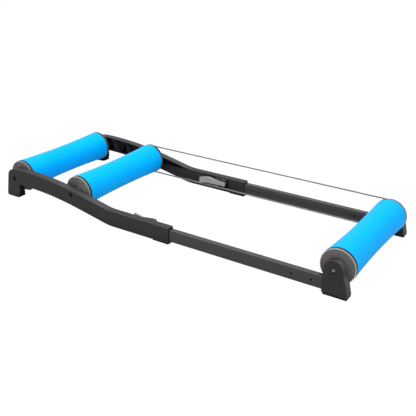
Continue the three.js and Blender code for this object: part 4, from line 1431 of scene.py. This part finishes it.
class ROLLERS_OT_front_feet(Operator):
    """Make the two front feet with their soles and bolts"""

    bl_idname = "rollers.front_feet"
    bl_label = "Front feet"

    def outline(self, slim):
        """The foot from the side, smaller by slim behind its outer plate."""
        tube = settings("tube")
        heel = REACH - tube.heel
        toe = REACH + tube.toe
        dome = tube.dome_radius - slim
        front = REACH + dome
        points = [
            (heel + tube.heel_in + tube.heel_chamfer, tube.sole),
            (toe - TOE_SLOPE, tube.sole),
            (toe, tube.toe_lift),
        ]
        knots = [(front + ahead, AXLE_HEIGHT - below) for ahead, below in TOE_CURVE]
        points += curve_points(*knots, steps=6)
        for step in range(1, DOME_STEPS):
            turn = math.pi * step / DOME_STEPS
            reach = dome if turn < math.pi / 2 else mix(dome, tube.heel, (turn / math.pi - 0.5) * 2)
            points.append((REACH + reach * math.cos(turn), AXLE_HEIGHT + dome * math.sin(turn)))
        points.append((heel + slim / 4, AXLE_HEIGHT))
        points.append((heel + tube.heel_in, tube.sole + tube.heel_chamfer))
        return points

    def plate(self, start, end):
        """The outer plate, whose outer face leans in from its lower edge up."""
        tube = settings("tube")
        plate = prism(self.outline(0.0), start, end, tube.edge, segments=3)
        for vert in plate.verts:
            if vert.co.y > mix(start, end, 0.5):
                vert.co.y -= tube.lean_share * max(0.0, vert.co.z - tube.sole - tube.edge)
        return plate

    def foot(self):
        rail, tube = settings("rail", "tube")
        inner, outer = faces_of(tube.foot_width)
        step = outer - tube.plate
        block = prism(self.outline(tube.slim), inner, step + 2 * tube.edge, tube.edge / 3, segments=3)
        boss_start = bearing_face() + rail.gap
        boss = peg(rail.collar_radius, REACH, AXLE_HEIGHT, boss_start, rail.centre, facets=40)
        half = tube.width / 2 + rail.gap
        socket = brick(
            REACH - tube.heel - tube.width,
            tube_ends("left")[1] + rail.gap,
            rail.centre - half,
            rail.centre + half,
            tube.bottom - rail.gap,
            tube.bottom + tube.height + rail.gap,
        )
        recess_start = outer - tube.recess_depth
        recess_end = outer + tube.width
        bolt_radius = tube.bolt_radius + rail.gap
        bolt_end = inner + tube.bolt_height + rail.gap
        changes = [
            (JOIN, self.plate(step, outer)),
            (JOIN, boss),
            (CUT, socket),
            (CUT, peg(BORE_RADIUS, REACH, AXLE_HEIGHT, inner - tube.width, outer, facets=40)),
            (CUT, peg(tube.recess_radius, REACH, AXLE_HEIGHT, recess_start, recess_end, facets=48)),
            (CUT, peg(bolt_radius, REACH, tube_height(), inner - tube.width, bolt_end, facets=40)),
        ]
        return combined(block, changes)

    def sole(self):
        tube = settings("tube")
        inner, outer = faces_of(tube.foot_width)
        return brick(
            REACH - tube.heel + tube.heel_in + tube.heel_chamfer,
            REACH + tube.toe - tube.sole_inset,
            inner + tube.sole_inset,
            outer - tube.sole_inset,
            0.0,
            tube.sole - settings("rail").gap,
            SOLE_EDGE,
        )

    def bolt(self):
        tube, a = settings("tube", "axle")
        face = faces_of(tube.foot_width)[0]
        socket = (a.socket_radius, a.socket_depth * FOOT_SOCKET)
        return bolt_head(face, -1, tube.bolt_radius, tube.bolt_height, a.chamfer, *socket, facets=32)

    def execute(self, context):
        body = "front_frame"
        for word, side in SIDES:
            foot = put(self.foot(), side)
            show(foot, f"front_foot_{word}", "moulding", "frame_black", body, crease=28.0)
            show(put(self.sole(), side), f"front_foot_sole_{word}", "pad", "rubber_black", body)
            bolt = put(self.bolt(), side, REACH, tube_height())
            show(bolt, f"front_foot_bolt_{word}", "head", "steel", body)
        return {"FINISHED"}


# Clamps


def shoe_block(start, end, grow=0.0, edge=0.0):
    """A block of the clamp shoe's length and height, or larger all round."""
    clamp = settings("clamp")
    half = clamp.shoe_length / 2 + grow
    rise = clamp.shoe_height / 2 + grow
    x = clamp.pivot_x
    z = tube_height()
    return brick(x - half, x + half, start, end, z - rise, z + rise, edge)


def screw_places():
    clamp = settings("clamp")
    x = clamp.pivot_x - clamp.back + clamp.screw_inset
    return (
        ("lower", x, tube_height() - clamp.screw_rise),
        ("upper", x, tube_height() + clamp.screw_rise),
    )


def screw_holes(start):
    """Cuts for the housing's two screws, up to the rail's centre."""
    radius = settings("clamp").pin_radius
    end = settings("rail").centre
    return [(CUT, peg(radius, x, z, start, end, facets=20)) for _, x, z in screw_places()]


class ROLLERS_OT_clamps(Operator):
    """Make the two clamps: housing, screws, pin, lever and shoe"""

    bl_idname = "rollers.clamps"
    bl_label = "Clamps"

    def pivot_y(self):
        return settings("rail").centre - settings("clamp").pivot_out

    def pin_hole(self, bottom, top):
        clamp, rail = settings("clamp", "rail")
        return stake(clamp.pin_radius + rail.gap, clamp.pivot_x, self.pivot_y(), bottom, top)

    def housing(self):
        rail, clamp = settings("rail", "clamp")
        back = clamp.pivot_x - clamp.back
        front = clamp.pivot_x + clamp.front
        seat = faces_of(rail.width)[0] - rail.gap
        plate = seat - clamp.plate
        reach = self.pivot_y() - clamp.ear_reach
        ear = [
            (back, seat),
            (back + clamp.ear, mix(seat, reach, 0.5)),
            (clamp.pivot_x - clamp.ear_reach * 2, reach),
            (clamp.pivot_x + clamp.ear_reach / 2, reach),
            (clamp.pivot_x + clamp.front * EAR_FRONT, mix(seat, reach, 0.5)),
            (front, seat),
        ]
        base = brick(back, front, plate, seat, clamp.ear_bottom, clamp.ear_top)
        beyond = plate - rail.width / 4
        changes = [
            (JOIN, slab(ear, clamp.ear_bottom - EAR_PROUD, clamp.ear_bottom + clamp.ear)),
            (JOIN, slab(ear, clamp.ear_top - clamp.ear, clamp.ear_top + EAR_PROUD)),
            (CUT, shoe_block(beyond, rail.centre, rail.gap)),
            (CUT, self.pin_hole(0.0, rail.high_top)),
        ]
        changes += screw_holes(beyond)
        sink_end = plate + clamp.plate / 2 + rail.gap
        for _, x, z in screw_places():
            changes.append((CUT, peg(clamp.screw_head + rail.gap, x, z, beyond, sink_end, facets=32)))
        return combined(base, changes)

    def lever_side(self, offset):
        """One side of the lever from above: straight from its nose, then curled away at the tip."""
        clamp = settings("clamp")
        x = clamp.pivot_x
        y = self.pivot_y() + offset
        tip = x - clamp.lever_length
        tip_y = y - clamp.lever_flare + clamp.lever_thickness / 2
        curl_y = y - clamp.lever_flare * CURL_DEPTH
        bends = ((x, y), (mix(x, tip, CURL_START), y), (mix(x, tip, CURL_BEND), curl_y), (tip, tip_y))
        return [(x + clamp.lever_end, y)] + curve_points(*bends, steps=18)

    def lever_face(self):
        """The lever seen from the side of the rail."""
        clamp = settings("clamp")
        bottom, top, peak = clamp.lever_bottom, clamp.lever_top, clamp.peak
        tip = clamp.pivot_x - clamp.lever_length
        nose = clamp.pivot_x + clamp.lever_end
        soft = clamp.nose

        def along(shares, heights):
            return [(mix(tip, clamp.pivot_x, share), z) for share, z in zip(shares, heights)]

        under = [(nose - soft, bottom), (nose - soft / 3, bottom)]
        under += [(nose, bottom + soft / 3), (nose, bottom + soft)]
        over = [(nose, top - soft), (nose, top - soft / 3), (nose - soft / 3, top), (nose - soft, top)]
        hump = along(HUMP, (top, top, peak, peak))
        fall = along(FALL, (peak, peak, mix(peak, clamp.tip_top, FALL_DROP), clamp.tip_top))
        face = [(tip, clamp.tip_bottom)] + along([BELLY], [bottom])
        for knots, steps in ((under, 6), (over, 6), (hump, 10), (fall, 6)):
            face += curve_points(*knots, steps)
        return face

    def lever(self):
        rail, clamp = settings("rail", "clamp")
        half = clamp.lever_thickness / 2
        flat = slab(self.lever_side(-half) + self.lever_side(half)[::-1], 0.0, rail.high_top)
        hub_y = self.pivot_y() + clamp.cam_offset
        hub_top = rail.high_top - HUB_SHORT
        hub = stake(clamp.cam_radius, clamp.pivot_x, hub_y, 0.0, hub_top, facets=40)
        outline = prism(self.lever_face(), self.pivot_y() - 2 * clamp.lever_flare, rail.centre)
        pin = self.pin_hole(-PAST, rail.high_top + PAST)
        return combined(flat, [(JOIN, hub), (KEEP, outline), (CUT, pin)])

    def shoe(self):
        rail, tube, clamp = settings("rail", "tube", "clamp")
        start = self.pivot_y() + clamp.cam_offset + clamp.cam_radius + SHOE_GAP
        end = rail.centre - tube.width / 2 - rail.gap
        return shoe_block(start, end, edge=SHOE_EDGE)

    def screw(self):
        rail, clamp = settings("rail", "clamp")
        face = faces_of(rail.width)[0] - rail.gap - clamp.plate
        socket = (clamp.screw_head * SCREW_SOCKET[0], clamp.plate * SCREW_SOCKET[1])
        return bolt_head(face, -1, clamp.screw_head, clamp.plate / 2, SCREW_EDGE, *socket, facets=28)

    def execute(self, context):
        c = settings("clamp")
        body = "rear_frame"
        for word, side in SIDES:
            housing = put(self.housing(), side)
            show(housing, f"latch_housing_{word}", "moulding", "frame_black", body, soften=HOUSING_EDGE)
            lever = put(self.lever(), side)
            show(lever, f"latch_lever_{word}", "handle", "lever_grey", f"lever_{word}", soften=c.edge)
            shoe = put(self.shoe(), side)
            show(shoe, f"latch_shoe_{word}", "pad", "rubber_black", f"shoe_{word}")
            pin = put(stake(c.pin_radius, c.pivot_x, self.pivot_y(), c.ear_bottom, c.ear_top), side)
            show(pin, f"latch_pin_{word}", "rod", "steel", body, soften=PIN_EDGE)
            for level, x, z in screw_places():
                screw = put(self.screw(), side, x, z)
                show(screw, f"latch_screw_{level}_{word}", "head", "steel", body)
        return {"FINISHED"}


# Stage


class ROLLERS_OT_stage(Operator):
    """Make the floor, lamps and camera"""

    bl_idname = "rollers.stage"
    bl_label = "Stage"

    def floor(self):
        bm = bmesh.new()
        bmesh.ops.create_grid(bm, x_segments=1, y_segments=1, size=FLOOR_SIZE)
        ground = object_of(bm, "ground")
        material = bpy.data.materials.new("ground")
        g = Graph(material, "Principled BSDF")
        g.finish(Base_Color=paint("ground"), Roughness=0.9, Specular_IOR_Level=0.0)
        glow = g.make("ShaderNodeEmission", {}, {"Strength": FLOOR_GLOW})
        g.shown_to_camera(glow, GLOW_SHARE, "Material Output")
        ground.data.materials.append(material)

    def world(self):
        world = bpy.data.worlds.new("sky")
        bpy.context.scene.world = world
        g = Graph(world, "Background")
        g.finish(Color=WHITE, Strength=settings("stage").sky)
        seen = g.make("ShaderNodeBackground", {}, {"Color": WHITE, "Strength": 1.0})
        g.shown_to_camera(seen, 1.0, "World Output")

    def lamp(self, name, place, target, size, power):
        data = bpy.data.lights.new(name, "AREA")
        data.shape = "RECTANGLE"
        data.size, data.size_y = size
        data.energy = power
        lamp = bpy.data.objects.new(name, data)
        bpy.context.scene.collection.objects.link(lamp)
        lamp.location = place
        lamp.rotation_euler = (Vector(target) - Vector(place)).to_track_quat("-Z", "Y").to_euler()

    def camera(self):
        s = settings("stage")
        data = bpy.data.cameras.new("camera")
        data.lens = s.lens
        data.sensor_width = 36.0
        data.shift_x, data.shift_y = s.shift
        camera = bpy.data.objects.new("camera", data)
        bpy.context.scene.collection.objects.link(camera)
        camera.location = s.camera_place
        level = math.cos(s.camera_pitch)
        forward = Vector(
            (
                math.sin(s.camera_yaw) * level,
                math.cos(s.camera_yaw) * level,
                -math.sin(s.camera_pitch),
            )
        )
        camera.rotation_euler = forward.to_track_quat("-Z", "Y").to_euler()
        camera.rotation_euler.rotate_axis("Z", s.camera_roll)
        bpy.context.scene.camera = camera

    def execute(self, context):
        s = settings("stage")
        self.floor()
        self.world()
        self.lamp("overhead", (-0.2, 0.3, 2.2), target=(0.0, 0.0, 0.0), size=(2.6, 1.8), power=s.lamp)
        self.lamp("side", (1.8, -1.6, 1.3), target=(0.2, 0.0, 0.0), size=(1.2, 1.2), power=s.side_lamp)
        self.camera()
        context.scene.view_settings.view_transform = "Standard"
        return {"FINISHED"}


class ROLLERS_PT_panel(Panel):
    """The rollers' pieces"""

    bl_idname = "ROLLERS_PT_panel"
    bl_label = "Bike rollers"
    bl_space_type = "VIEW_3D"
    bl_region_type = "UI"
    bl_category = "Rollers"

    def draw(self, context):
        for group in GROUPS:
            values = settings(group)
            column = self.layout.column(align=True)
            column.label(text=group.capitalize())
            for key in values.bl_rna.properties.keys():
                if key not in {"rna_type", "name"}:
                    column.prop(values, key)
        for operator in OPERATORS:
            self.layout.operator(operator.bl_idname)


GROUPS = {
    "drum": RollerDrumSettings,
    "axle": RollerAxleSettings,
    "rail": RollerRailSettings,
    "tube": RollerTubeSettings,
    "clamp": RollerClampSettings,
    "belt": RollerBeltSettings,
    "finish": RollerFinishSettings,
    "stage": RollerStageSettings,
}

OPERATORS = (
    ROLLERS_OT_stage,
    ROLLERS_OT_drums,
    ROLLERS_OT_end_caps,
    ROLLERS_OT_bearings,
    ROLLERS_OT_axles,
    ROLLERS_OT_belt,
    ROLLERS_OT_outer_rails,
    ROLLERS_OT_rail_rubber,
    ROLLERS_OT_inner_tubes,
    ROLLERS_OT_front_feet,
    ROLLERS_OT_clamps,
)


def register():
    for group, kind in GROUPS.items():
        bpy.utils.register_class(kind)
        setattr(bpy.types.Scene, f"roller_{group}", PointerProperty(type=kind))
    for operator in OPERATORS:
        bpy.utils.register_class(operator)
    bpy.utils.register_class(ROLLERS_PT_panel)


def unregister():
    bpy.utils.unregister_class(ROLLERS_PT_panel)
    for operator in reversed(OPERATORS):
        bpy.utils.unregister_class(operator)
    for group, kind in reversed(GROUPS.items()):
        delattr(bpy.types.Scene, f"roller_{group}")
        bpy.utils.unregister_class(kind)


def main():
    register()
    bpy.ops.rollers.stage()
    bpy.ops.rollers.drums()
    bpy.ops.rollers.end_caps()
    bpy.ops.rollers.bearings()
    bpy.ops.rollers.axles()
    bpy.ops.rollers.belt()
    bpy.ops.rollers.outer_rails()
    bpy.ops.rollers.rail_rubber()
    bpy.ops.rollers.inner_tubes()
    bpy.ops.rollers.front_feet()
    bpy.ops.rollers.clamps()


if __name__ == "__main__":
    main()
